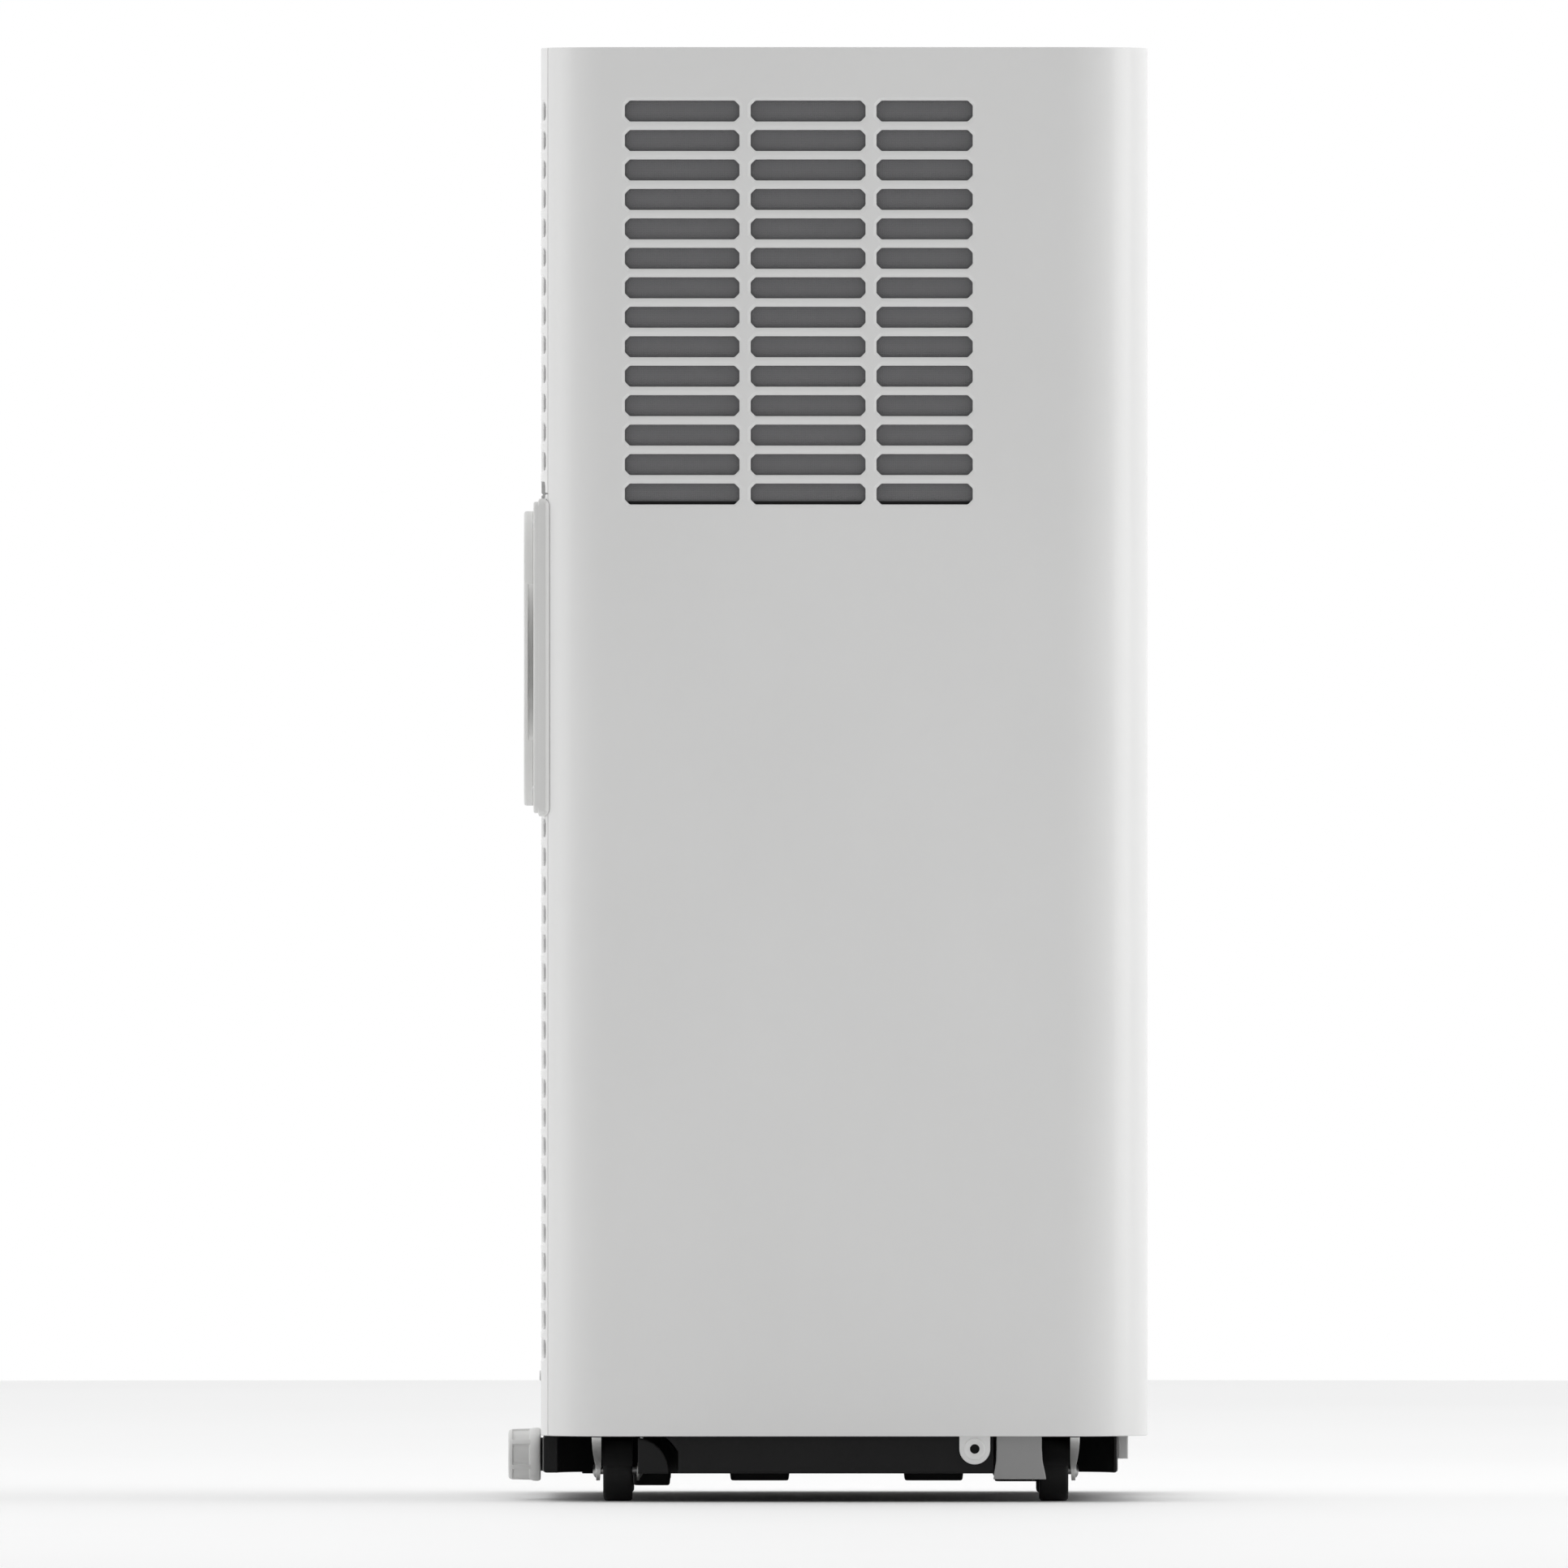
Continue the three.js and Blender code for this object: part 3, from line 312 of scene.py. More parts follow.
def rounded_rectangle(u0, u1, v0, v1, radius, steps=6, flat=0.0):
    """Anticlockwise from the lower left corner, starting at the end of the left side.

    flat draws each corner from a quarter circle, at 0, towards a straight chamfer, at 1.
    """
    corners = ((u0 + radius, v0 + radius, 270), (u1 - radius, v0 + radius, 180),
               (u1 - radius, v1 - radius, 90), (u0 + radius, v1 - radius, 0))
    points = []
    for u, v, start in corners:
        corner = arc_points(u, v, radius, start, start - 90, steps)
        (au, av), (bu, bv) = corner[0], corner[-1]
        for i, (pu, pv) in enumerate(corner):
            share = i / steps
            pull = flat * math.sin(math.pi * share) ** 0.5
            points.append((pu + (au + (bu - au) * share - pu) * pull,
                pv + (av + (bv - av) * share - pv) * pull))
    return points


class Piece:
    """Collects closed shapes in millimetres and makes one object of them."""

    def __init__(self):
        self.verts = []
        self.faces = []

    def vert(self, point):
        self.verts.append(tuple(point))
        return len(self.verts) - 1

    def ring(self, points):
        return [self.vert(point) for point in points]

    def bridge(self, first, second, closed=True):
        count = len(first)
        for i in range(count if closed else count - 1):
            j = (i + 1) % count
            self.faces.append((first[i], first[j], second[j], second[i]))

    def loft(self, rings, cap_start=True, cap_end=True, closed=False):
        loops = [self.ring(points) for points in rings]
        for first, second in zip(loops, loops[1:]):
            self.bridge(first, second)
        if closed:
            self.bridge(loops[-1], loops[0])
            return
        if cap_start:
            self.faces.append(tuple(reversed(loops[0])))
        if cap_end:
            self.faces.append(tuple(loops[-1]))

    def turned(self, place, profile, sides=48, closed=False, radius_at=None):
        """place(u, v, w) maps a point across and along the axis; profile is (radius, w) pairs."""
        rings = []
        for radius, w in profile:
            ring = []
            for i in range(sides):
                angle = 2 * math.pi * i / sides
                r = radius_at(radius, angle) if radius_at else radius
                ring.append(place(r * math.cos(angle), r * math.sin(angle), w))
            rings.append(ring)
        self.loft(rings, closed=closed)

    def slab(self, outline, place, w0, w1, fillet=0.0):
        """A flat outline with thickness; fillet softens the edges of both faces."""
        steps = QUARTER if fillet else ((0.0, 0.0),)
        near = [(fillet * a, w0 + fillet * b) for a, b in reversed(steps)]
        far = [(fillet * a, w1 - fillet * b) for a, b in steps]
        rings = []
        for inset, w in near + far:
            points = offset_outline(outline, -inset) if inset else outline
            rings.append([place(u, v, w) for u, v in points])
        self.loft(rings)

    def sheet(self, place, us, vs, slots, thickness, fillet=0.6, rim=(0.8, 0.8), arc_steps=5,
        flat=0.0):
        """A wall of a thickness over (u, v) with rounded slots, drawn by place(u, v, depth).

        us and vs are the grid lines, with the outer edges as the first and last of them.
        Each slot is (u0, u1, v0, v1, radius, cell), and its cell's sides are grid lines.
        """
        def edged(lines):
            first, last = lines[0], lines[-1]
            start = [(first + fillet * a, fillet * b) for a, b in QUARTER]
            end = [(last - fillet * a, fillet * b) for a, b in reversed(QUARTER)]
            return start + [(line, 0.0) for line in lines[1:-1]] + end

        u_lines, v_lines = edged(us), edged(vs)
        front, back = {}, {}

        def grid(i, j):
            if (i, j) not in front:
                (u, du), (v, dv) = u_lines[i], v_lines[j]
                front[i, j] = self.vert(place(u, v, max(du, dv)))
                back[i, j] = self.vert(place(u, v, thickness))
            return front[i, j], back[i, j]

        def nearest(lines, value):
            return min(range(len(lines)), key=lambda k: abs(lines[k][0] - value))

        taken = set()
        for slot in slots:
            cu0, cu1, cv0, cv1 = slot[5]
            i0, i1 = nearest(u_lines, cu0), nearest(u_lines, cu1)
            j0, j1 = nearest(v_lines, cv0), nearest(v_lines, cv1)
            taken.update((i, j) for i in range(i0, i1) for j in range(j0, j1))
            self.slot(place, slot, (i0, i1, j0, j1), grid, u_lines, thickness, rim, arc_steps, flat)
        rows, columns = len(v_lines) - 1, len(u_lines) - 1
        for i in range(columns):
            for j in range(rows):
                if (i, j) in taken:
                    continue
                corners = [grid(i, j), grid(i + 1, j), grid(i + 1, j + 1), grid(i, j + 1)]
                self.faces.append(tuple(c[0] for c in corners))
                self.faces.append(tuple(c[1] for c in reversed(corners)))
        border = [(i, 0) for i in range(columns)] + [(columns, j) for j in range(rows)]
        border += [(i, rows) for i in range(columns, 0, -1)] + [(0, j) for j in range(rows, 0, -1)]
        edges = [grid(i, j) for i, j in border]
        self.bridge([e[1] for e in edges], [e[0] for e in edges])

    def slot(self, place, slot, cell, grid, u_lines, thickness, rim, arc_steps, flat):
        """One rounded hole in a sheet, with a bevelled rim, (width, depth), on its outer side."""
        u0, u1, v0, v1, radius, _ = slot
        i0, i1, j0, j1 = cell
        inner = [u_lines[i][0] for i in range(i0 + 1, i1)]

        def loop(grow, depth):
            sides = rounded_rectangle(
                u0 - grow, u1 + grow, v0 - grow, v1 + grow, radius + grow * (1 - 0.59 * flat),
                    arc_steps, flat)
            per = arc_steps + 1
            low = [(u, v0 - grow) for u in inner]
            high = [(u, v1 + grow) for u in reversed(inner)]
            points = sides[:per] + low + sides[per:3 * per] + high + sides[3 * per:]
            return self.ring([place(u, v, depth) for u, v in points])

        loops = [loop(rim[0] * a, rim[1] * b) for a, b in reversed(CHAMFER)]
        loops.append(loop(0.0, thickness))
        for first, second in zip(loops, loops[1:]):
            self.bridge(first, second)
        per = arc_steps + 1
        extra = len(inner)
        for side, ring in ((0, loops[0]), (1, loops[-1])):
            low = [grid(i, j0)[side] for i in range(i0, i1 + 1)]
            high = [grid(i, j1)[side] for i in range(i1, i0 - 1, -1)]
            right = [grid(i1, j)[side] for j in range(j0, j1 + 1)]
            left = [grid(i0, j)[side] for j in range(j1, j0 - 1, -1)]
            starts = (0, per + extra, 2 * per + extra, 3 * per + 2 * extra)
            for start, corner in zip(starts, (low[0], low[-1], high[0], high[-1])):
                for k in range(per - 1):
                    self.faces.append((corner, ring[start + k + 1], ring[start + k]))
            low_hole = ring[starts[0] + per - 1:starts[1] + 1]
            high_hole = ring[starts[2] + per - 1:starts[3] + 1]
            for outer, hole in ((low, low_hole), (high, high_hole)):
                for k in range(len(outer) - 1):
                    self.faces.append((outer[k], outer[k + 1], hole[k + 1], hole[k]))
            self.faces.append((*right, ring[starts[2]], ring[starts[1] + per - 1]))
            self.faces.append((*left, ring[starts[0]], ring[starts[3] + per - 1]))

    def made(self, name):
        """The collected shapes as a plain object."""
        mesh = bpy.data.meshes.new(name)
        mesh.from_pydata([Vector(v) * MM for v in self.verts], [], self.faces)
        bm = bmesh.new()
        bm.from_mesh(mesh)
        bmesh.ops.remove_doubles(bm, verts=bm.verts, dist=2e-7)
        bmesh.ops.recalc_face_normals(bm, faces=bm.faces)
        bm.to_mesh(mesh)
        bm.free()
        piece = bpy.data.objects.new(name, mesh)
        bpy.context.collection.objects.link(piece)
        return piece

    def finish(self, name, material, body=CASING, replaces=(), smooth=34.0, bevel=0.0):
        return dress(self.made(name), material, body, replaces, smooth, bevel)


def dress(piece, material, body=CASING, replaces=(), smooth=34.0, bevel=0.0):
    """Give a piece its material, soft normals and body, and hide the CAD nodes it stands for."""
    mesh = piece.data
    mesh.materials.clear()
    mesh.materials.append(MATERIALS[material])
    if bevel:
        soften = piece.modifiers.new("edges", "BEVEL")
        soften.width = bevel * MM
        soften.segments = 3
        soften.limit_method = "ANGLE"
        soften.angle_limit = math.radians(35)
        apply_modifiers(piece)
        mesh = piece.data
    mesh.shade_smooth()
    mesh.set_sharp_from_angle(angle=math.radians(smooth))
    weigh = piece.modifiers.new("normals", "WEIGHTED_NORMAL")
    weigh.keep_sharp = True
    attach(piece, body)
    if replaces:
        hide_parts(*replaces)
    return piece


def apply_modifiers(piece):
    """Bake a piece's modifiers into its mesh."""
    depsgraph = bpy.context.evaluated_depsgraph_get()
    baked = bpy.data.meshes.new_from_object(piece.evaluated_get(depsgraph))
    piece.modifiers.clear()
    old = piece.data
    piece.data = baked
    baked.name = old.name
    bpy.data.meshes.remove(old)


def offset_outline(points, amount):
    """Move every point of a closed anticlockwise outline outwards by an amount."""
    moved = []
    count = len(points)
    for i, (u, v) in enumerate(points):
        pu, pv = points[i - 1]
        nu, nv = points[(i + 1) % count]
        before = Vector((u - pu, v - pv))
        after = Vector((nu - u, nv - v))
        normals = [Vector((side.y, -side.x)).normalized() for side in (before,
            after) if side.length > 1e-9]
        middle = sum(normals, Vector((0, 0)))
        if middle.length < 1e-9:
            moved.append((u, v))
            continue
        middle.normalize()
        reach = amount / max(0.3, middle.dot(normals[0]))
        moved.append((u + middle.x * reach, v + middle.y * reach))
    return moved


def along_x(x=0.0, y=0.0, z=0.0):
    return lambda u, v, w: (x + w, y + u, z + v)


def along_y(x=0.0, y=0.0, z=0.0):
    return lambda u, v, w: (x - u, y + w, z + v)


def along_z(x=0.0, y=0.0, z=0.0):
    return lambda u, v, w: (x + u, y + v, z + w)


def evenly(start, end, count):
    return [start + (end - start) * i / count for i in range(count + 1)]


def radial(outline, centre, angle):
    """How far an outline is from a centre inside it, in a direction."""
    du, dv = math.cos(angle), math.sin(angle)
    far = 0.0
    for (u0, v0), (u1, v1) in zip(outline, outline[1:] + outline[:1]):
        eu, ev = u1 - u0, v1 - v0
        turn = du * ev - dv * eu
        if abs(turn) < 1e-12:
            continue
        pu, pv = u0 - centre[0], v0 - centre[1]
        reach = (pu * ev - pv * eu) / turn
        share = (pu * dv - pv * du) / turn
        if reach > 0 and -1e-6 <= share <= 1 + 1e-6:
            far = max(far, reach)
    return far


def grid_lines(needed, wanted=(), avoid=(), apart=1.2):
    """Needed lines, and those wanted that are clear of them and of the ranges to avoid."""
    lines = sorted(needed)
    for line in wanted:
        clear = all(abs(line - other) >= apart for other in lines)
        if clear and not any(low < line < high for low, high in avoid):
            lines.append(line)
    return sorted(lines)


class Plan:
    """A wall's outer face seen from above, followed clockwise, by distance along it.

    A part is a straight (x0, y0, x1, y1) or an arc (x, y, radius, start, end), in degrees.
    """

    def __init__(self, *parts, step=5.0):
        self.parts = []
        self.lines = [0.0]
        self.length = 0.0
        for part in parts:
            if len(part) == 4:
                length = math.dist(part[:2], part[2:])
                count = 1
            else:
                length = part[2] * math.radians(part[4] - part[3])
                count = math.ceil((part[4] - part[3]) / step)
            self.parts.append((self.length, length, part))
            self.lines += [self.length + length * (i + 1) / count for i in range(count)]
            self.length += length

    def __call__(self, u, z, depth):
        for start, length, part in self.parts:
            if u <= start + length + 1e-6:
                break
        share = (u - start) / length
        if len(part) == 4:
            x0, y0, x1, y1 = part
            dx, dy = (x1 - x0) / length, (y1 - y0) / length
            return (x0 + (x1 - x0) * share + dy * depth, y0 + (y1 - y0) * share - dx * depth, z)
        x, y, radius, first, last = part
        angle = math.radians(first + (last - first) * share)
        return (x + (radius - depth) * math.sin(angle), y + (radius - depth) * math.cos(angle), z)


def mirrored(place, side):
    """The same wall on the side of the sign given."""
    def other(u, v, w):
        x, y, z = place(u, v, w)
        return (side * x, y, z)
    return other


def merge(target, operation, *tools):
    """Join to a plain object, or cut from it, each of several others."""
    for tool in tools:
        change = target.modifiers.new("merge", "BOOLEAN")
        change.operation = operation
        change.solver = "EXACT"
        change.object = tool
        apply_modifiers(target)
        bpy.data.objects.remove(tool)
    return target


def prism(outline, place, w0, w1, fillet=0.0):
    piece = Piece()
    piece.slab(outline, place, w0, w1, fillet)
    return piece.made("prism")


def box_outline(u0, u1, v0, v1):
    return [(u0, v0), (u1, v0), (u1, v1), (u0, v1)]


def circle(u, v, radius, sides=40):
    return [(u + radius * math.cos(2 * math.pi * i / sides),
        v + radius * math.sin(2 * math.pi * i / sides))
            for i in range(sides)]


# ---- Casing panels ----------------------------------------------------------------------------

SLOT_R = 2.6
SLOT_RIM = (1.5, 1.15)
SLOT_FLAT = 0.75
SIDE_ROWS = [(669.4 - 14.07 * row - 10.0, 669.4 - 14.07 * row) for row in range(14)]
SIDE_COLUMNS = ((42.2, 96.9), (-18.0, 36.8), (-69.2, -23.3))
UPPER_ROWS = [(669.0 - 13.95 * row - 8.7, 669.0 - 13.95 * row) for row in range(13)]
SEAM_ROW = (669.0 - 13.95 * 13 - 8.7, 669.0 - 13.95 * 13)
LOWER_ROWS = [(326.4 - 13.85 * row - 8.7, 326.4 - 13.85 * row) for row in range(19)]
LUG_Y, LUG_Z, LUG_R, LUG_HOLE = -70.2, 25.4, 7.4, 2.3


def cells(spans, margin=2.6):
    """The cell round each of a row of slots: half way to its neighbours."""
    ordered = sorted(spans)
    edges = [ordered[0][0] - margin]
    edges += [(first[1] + second[0]) / 2 for first, second in zip(ordered, ordered[1:])]
    edges.append(ordered[-1][1] + margin)
    return list(zip(ordered, zip(edges, edges[1:]))), edges


def slot_field(columns, rows, radius=SLOT_R):
    """Slots with their cells, and the grid lines that the cells need both ways."""
    across, u_edges = cells(columns)
    up, v_edges = cells(rows)
    slots = [(*u, *v, radius, (*cu, *cv)) for u, cu in across for v, cv in up]
    return slots, u_edges, v_edges


def side_panel(label, side):
    seam = SEAM_DEG + math.degrees(GAP / BACK_R)
    plan = Plan(
        (*BACK_CENTRE, BACK_R, seam, 90), (SIDE_X, BACK_CENTRE[1], SIDE_X, FRONT_CENTRE[1]),
        (*FRONT_CENTRE, FRONT_R, 90, 180), (FRONT_CENTRE[0], FRONT_Y, FRONT_SEAM_X, FRONT_Y))
    bend = plan.parts[1][0]
    columns = [(bend + BACK_CENTRE[1] - y1, bend + BACK_CENTRE[1] - y0) for y0, y1 in SIDE_COLUMNS]
    slots, u_edges, v_edges = slot_field(columns, SIDE_ROWS)
    us = grid_lines([0.0, plan.length, *u_edges], plan.lines)
    vs = grid_lines([PANEL_Z, TOP_Z, *v_edges], evenly(PANEL_Z, v_edges[0], 6))
    piece = Piece()
    piece.sheet(mirrored(plan, side), us, vs, slots, WALL, rim=SLOT_RIM, flat=SLOT_FLAT)
    panel_lug(piece, side)
    piece.finish(f"side_panel_{label}_shell", "white_shell", replaces=[f"side_panel_{label}"])


def panel_lug(piece, side):
    """The screw lug below a side panel: a tongue with a rimmed hole, against the base."""
    near, face = 160.3, 163.5
    outline = [(LUG_Y + LUG_R, PANEL_Z + 8), (LUG_Y - LUG_R, PANEL_Z + 8)]
    outline += arc_points(LUG_Y, LUG_Z, LUG_R, 270, 90, 24)
    centre = (LUG_Y, LUG_Z)
    angles = [2 * math.pi * i / 96 for i in range(96)]
    reach = [radial(outline, centre, angle) for angle in angles]

    def ring(radius_of, w):
        return [(side * w, LUG_Y + radius_of(i) * math.cos(a), LUG_Z + radius_of(i) * math.sin(a))
                for i, a in enumerate(angles)]

    def inset(amount):
        return lambda i: reach[i] - amount

    def round_at(radius):
        return lambda i: radius

    rings = [ring(inset(0), near), ring(inset(0), face - 0.6), ring(inset(0.2), face - 0.2)]
    rings += [ring(inset(0.7), face), ring(round_at(5.3), face), ring(round_at(5.0), face + 0.5)]
    rings += [ring(round_at(4.3), face + 0.6), ring(round_at(3.8), face + 0.2)]
    rings += [ring(round_at(LUG_HOLE + 0.5), face - 0.2), ring(round_at(LUG_HOLE), face - 0.7)]
    rings.append(ring(round_at(LUG_HOLE), near))
    piece.loft(rings, closed=True)


def front_panel():
    edge = FRONT_SEAM_X - GAP
    plan = Plan((edge, FRONT_Y, -edge, FRONT_Y))
    half_u, half_v, middle = 108.3, 36.3, 632.0
    cell = (edge - half_u - 4, edge + half_u + 4, middle - half_v - 4, middle + half_v + 4)
    slot = (edge - half_u, edge + half_u, middle - half_v, middle + half_v, 4.0, cell)
    piece = Piece()
    us = grid_lines([0.0, 2 * edge, cell[0], cell[1]])
    vs = grid_lines([PANEL_Z, TOP_Z, cell[2], cell[3]], evenly(PANEL_Z, cell[2], 5))
    piece.sheet(plan, us, vs, [slot], WALL, rim=(0.7, 0.7))
    hook = [(FRONT_Y + 1.5, 37), (FRONT_Y + 1.5, 34), (-144.6, 34), (-144.6, 18.6), (-139.5, 18.6),
        (-139.5, 37)]
    piece.slab(hook, along_x(), -25, 25, 0.8)
    piece.finish("front_panel_shell", "white_shell", replaces=["front_panel"])


def back_wall(proud=0.0, wrap=SEAM_DEG, step=4.0):
    """The back wall's plan, and the distance along it of the line x = 0."""
    x, y = BACK_CENTRE
    radius = BACK_R + proud
    plan = Plan((-x, y, radius, -wrap, 0), (-x, y + radius, x, y + radius), (x, y, radius, 0, wrap),
        step=step)
    return plan, plan.length / 2


def bent(x):
    """The distance along the back wall from its middle to a point seen at x."""
    flat, radius = BACK_CENTRE[0], BACK_R
    over = abs(x) - flat
    return x if over <= 0 else math.copysign(flat + radius * math.asin(over / radius), x)


def back_slot_spans():
    """The ends in x of the four slots in each row."""
    half, rib, count = 141.6, 5.2, 4
    width = (2 * half - (count - 1) * rib) / count
    return [(-half + i * (width + rib), -half + i * (width + rib) + width) for i in range(count)]


def back_columns(middle):
    return [(middle + bent(x0), middle + bent(x1)) for x0, x1 in back_slot_spans()]


def seam_slots(piece, name):
    """Cut the row of slots that the seam between the door and the panel below it crosses."""
    tools = [prism(rounded_rectangle(x0, x1, *SEAM_ROW, SLOT_R), lambda u, v, w: (u, w, v), 125,
        141)
             for x0, x1 in back_slot_spans()]
    cut = merge(piece.made(name), "DIFFERENCE", *tools)
    cut.name = name
    return cut


def back_skin(piece, z0, z1, rows, hole=None):
    plan, middle = back_wall()
    columns = back_columns(middle)
    slots, u_edges, v_edges = slot_field(columns, rows)
    avoid = [(u - SLOT_R - 1.6, u + SLOT_R + 1.6) for column in columns for u in column]
    if hole:
        z, radius, low, high = hole
        slots.append((middle - radius, middle + radius, z - radius, z + radius, radius,
                      (u_edges[1], u_edges[3], low, high)))
        v_edges = [*v_edges, low, high]
    us = grid_lines([0.0, plan.length, *u_edges], plan.lines, avoid)
    vs = grid_lines([z0, z1, *v_edges])
    piece.sheet(plan, us, vs, slots, WALL, rim=SLOT_RIM, arc_steps=14 if hole else 5,
        flat=0.0 if hole else SLOT_FLAT)


def back_panel():
    piece = Piece()
    back_skin(piece, PANEL_Z, back_high.z, LOWER_ROWS, (403.5, 60.0, 336.0, 473.0))
    dress(seam_slots(piece, "back_panel_shell"), "white_shell", replaces=["back_panel"])


def filter_door():
    piece = Piece()
    back_skin(piece, door_low.z, TOP_Z, UPPER_ROWS)
    tab = rounded_rectangle(-16, 16, 671.7, 682.6, 3.2, 8)
    piece.slab(tab, lambda u, v, w: (u, w, v), BACK_Y - 1.5, BACK_Y + 3.2, 1.3)
    door = seam_slots(piece, "filter_door_shell")
    dress(door, "white_shell", body="filter_door", replaces=["filter_door"])


def lid_outline(depth):
    right = arc_points(*BACK_CENTRE, BACK_R - depth, 0, 90, 14)
    right += arc_points(*FRONT_CENTRE, FRONT_R - depth, 90, 180, 14)
    return [(-x, y) for x, y in right] + right[::-1]


FASCIA = (-76.0, 76.0, -134.0, -92.0)
FASCIA_Z = (693.2, 694.6)
KEY_Y = -113.0
KEYS = {"power": -60.0, "mode": -40.0, "down": 40.0, "up": 60.0}
KEY_R = 6.0


def top_cover():
    lid = prism(lid_outline(WALL + GAP), along_z(), TOP_Z - 4, TOP_Z, 0.9)
    u0, u1, v0, v1 = FASCIA
    recess = prism(box_outline(u0 - GAP, u1 + GAP, v0 - GAP, v1 + GAP), along_z(),
        FASCIA_Z[0] - GAP, TOP_Z + 2)
    holes = [prism(circle(x, KEY_Y, KEY_R + GAP), along_z(), TOP_Z - 6,
        TOP_Z) for x in KEYS.values()]
    merge(lid, "DIFFERENCE", recess, *holes)
    lid.name = "top_cover_shell"
    dress(lid, "white_shell", replaces=["top_cover"], smooth=30)


for label, side in SIDES:
    side_panel(label, side)
front_panel()
back_panel()
filter_door()
top_cover()

# ---- Control panel ----------------------------------------------------------------------------


def fascia():
    u0, u1, v0, v1 = FASCIA
    edges = [-68.0, -50.0, -30.0, 30.0, 50.0, 68.0]
    low, high = KEY_Y - 14, KEY_Y + 14
    slots = []
    for x, cell in zip([-60.0, -40.0, 40.0, 60.0],
        [edges[0:2], edges[1:3], edges[3:5], edges[4:6]]):
        r = KEY_R + GAP
        slots.append((x - r, x + r, KEY_Y - r, KEY_Y + r, r, (*cell, low, high)))
    slots.append((-24.3, 24.3, KEY_Y - 11.3, KEY_Y + 11.3, 1.5, (-30.0, 30.0, low, high)))
    piece = Piece()
    piece.sheet(lambda u, v, w: (u, v, FASCIA_Z[1] - w), [u0, *edges, u1], [v0, low, high, v1],
        slots,
                FASCIA_Z[1] - FASCIA_Z[0], fillet=0.4, rim=(0.25, 0.25), arc_steps=10)
    piece.finish("control_fascia_face", "gloss_black", replaces=["control_fascia"])
    lens = Piece()
    outline = rounded_rectangle(-24, 24, KEY_Y - 11, KEY_Y + 11, 1.3)
    lens.slab(outline, along_z(), *FASCIA_Z, 0.3)
    lens.finish("display_lens_face", "gloss_black", replaces=["display_lens"])


def digit(piece, x, lit):
    """One seven-segment figure, of short bars a hair above the lens."""
    z0, z1 = FASCIA_Z[1] - 0.1, FASCIA_Z[1] + 0.12
    across, up, half = 6.0, 6.2, 0.7
    bars = {"top": (0, up), "middle": (0, 0), "bottom": (0, -up)}
    for name, (du, dv) in bars.items():
        if name in lit:
            outline = [(x - across / 2 + 0.6, KEY_Y + dv),
                (x - across / 2 + 1.2, KEY_Y + dv - half),
                       (x + across / 2 - 1.2, KEY_Y + dv - half),
                           (x + across / 2 - 0.6, KEY_Y + dv),
                       (x + across / 2 - 1.2, KEY_Y + dv + half),
                           (x - across / 2 + 1.2, KEY_Y + dv + half)]
            piece.slab(outline, along_z(), z0, z1)
    posts = {"left_up": (-1, 1), "right_up": (1, 1), "left_down": (-1, -1), "right_down": (1, -1)}
    for name, (su, sv) in posts.items():
        if name in lit:
            u, v = x + su * across / 2, KEY_Y + sv * up / 2
            reach = up / 2 - 0.5
            outline = [(u, v - reach), (u + half, v - reach + 0.6), (u + half, v + reach - 0.6),
                       (u, v + reach), (u - half, v + reach - 0.6), (u - half, v - reach + 0.6)]
            piece.slab(outline, along_z(), z0, z1)


def display_figures():
    piece = Piece()
    digit(piece, -6.0, {"top", "right_up", "middle", "left_down", "bottom"})
    digit(piece, 6.0, {"left_up", "right_up", "middle", "right_down"})
    piece.finish("display_figures", "light_grey")


def key(label, x):
    profile = [(0.0, 688.8), (7.5, 688.8), (7.5, 690.6), (6.0, 690.6), (6.0, 694.2), (5.8, 694.65),
               (5.3, 694.95), (4.8, 694.95), (3.6, 694.7), (0.0, 694.5)]
    piece = Piece()
    piece.turned(along_z(x, KEY_Y), [(max(r, 0.01), w) for r, w in profile], 56)
    piece.finish(f"button_{label}_cap", "light_grey", body=f"button_{label}",
        replaces=[f"button_{label}"])
    mark = Piece()
    z0, z1 = 694.4, 694.9
    if label in ("down", "up"):
        tip = 2.4 if label == "up" else -2.4
        outline = [(x - 2.6, KEY_Y - tip / 2), (x + 2.6, KEY_Y - tip / 2), (x, KEY_Y + tip)]
        mark.slab(outline if tip > 0 else outline[::-1], along_z(), z0, z1)
    elif label == "power":
        outer = arc_points(x, KEY_Y, 2.7, 35, 325, 30)
        inner = arc_points(x, KEY_Y, 2.1, 35, 325, 30)
        mark.slab(outer[::-1] + inner, along_z(), z0, z1)
        mark.slab(box_outline(x - 0.32, x + 0.32, KEY_Y, KEY_Y + 3.2), along_z(), z0, z1)
    else:
        for dy in (-1.7, 0.0, 1.7):
            mark.slab(rounded_rectangle(x - 2.5, x + 2.5, KEY_Y + dy - 0.35, KEY_Y + dy + 0.35,
                0.33, 4),
                      along_z(), z0, z1)
    mark.finish(f"button_{label}_mark", "black_plastic", body=f"button_{label}")


fascia()
display_figures()
for label, x in KEYS.items():
    key(label, x)

# ---- Cool-air outlet --------------------------------------------------------------------------

OUTLET_Z, OUTLET_U, OUTLET_V = 632.0, 102.0, 30.0
BLADES = (614.0, 632.0, 650.0)
VANES = (-60.0, 0.0, 60.0)
BLADE_Y, BLADE_LINK_X = -143.0, 90.0
VANE_Y, VANE_LINK_Z = -119.0, 614.0


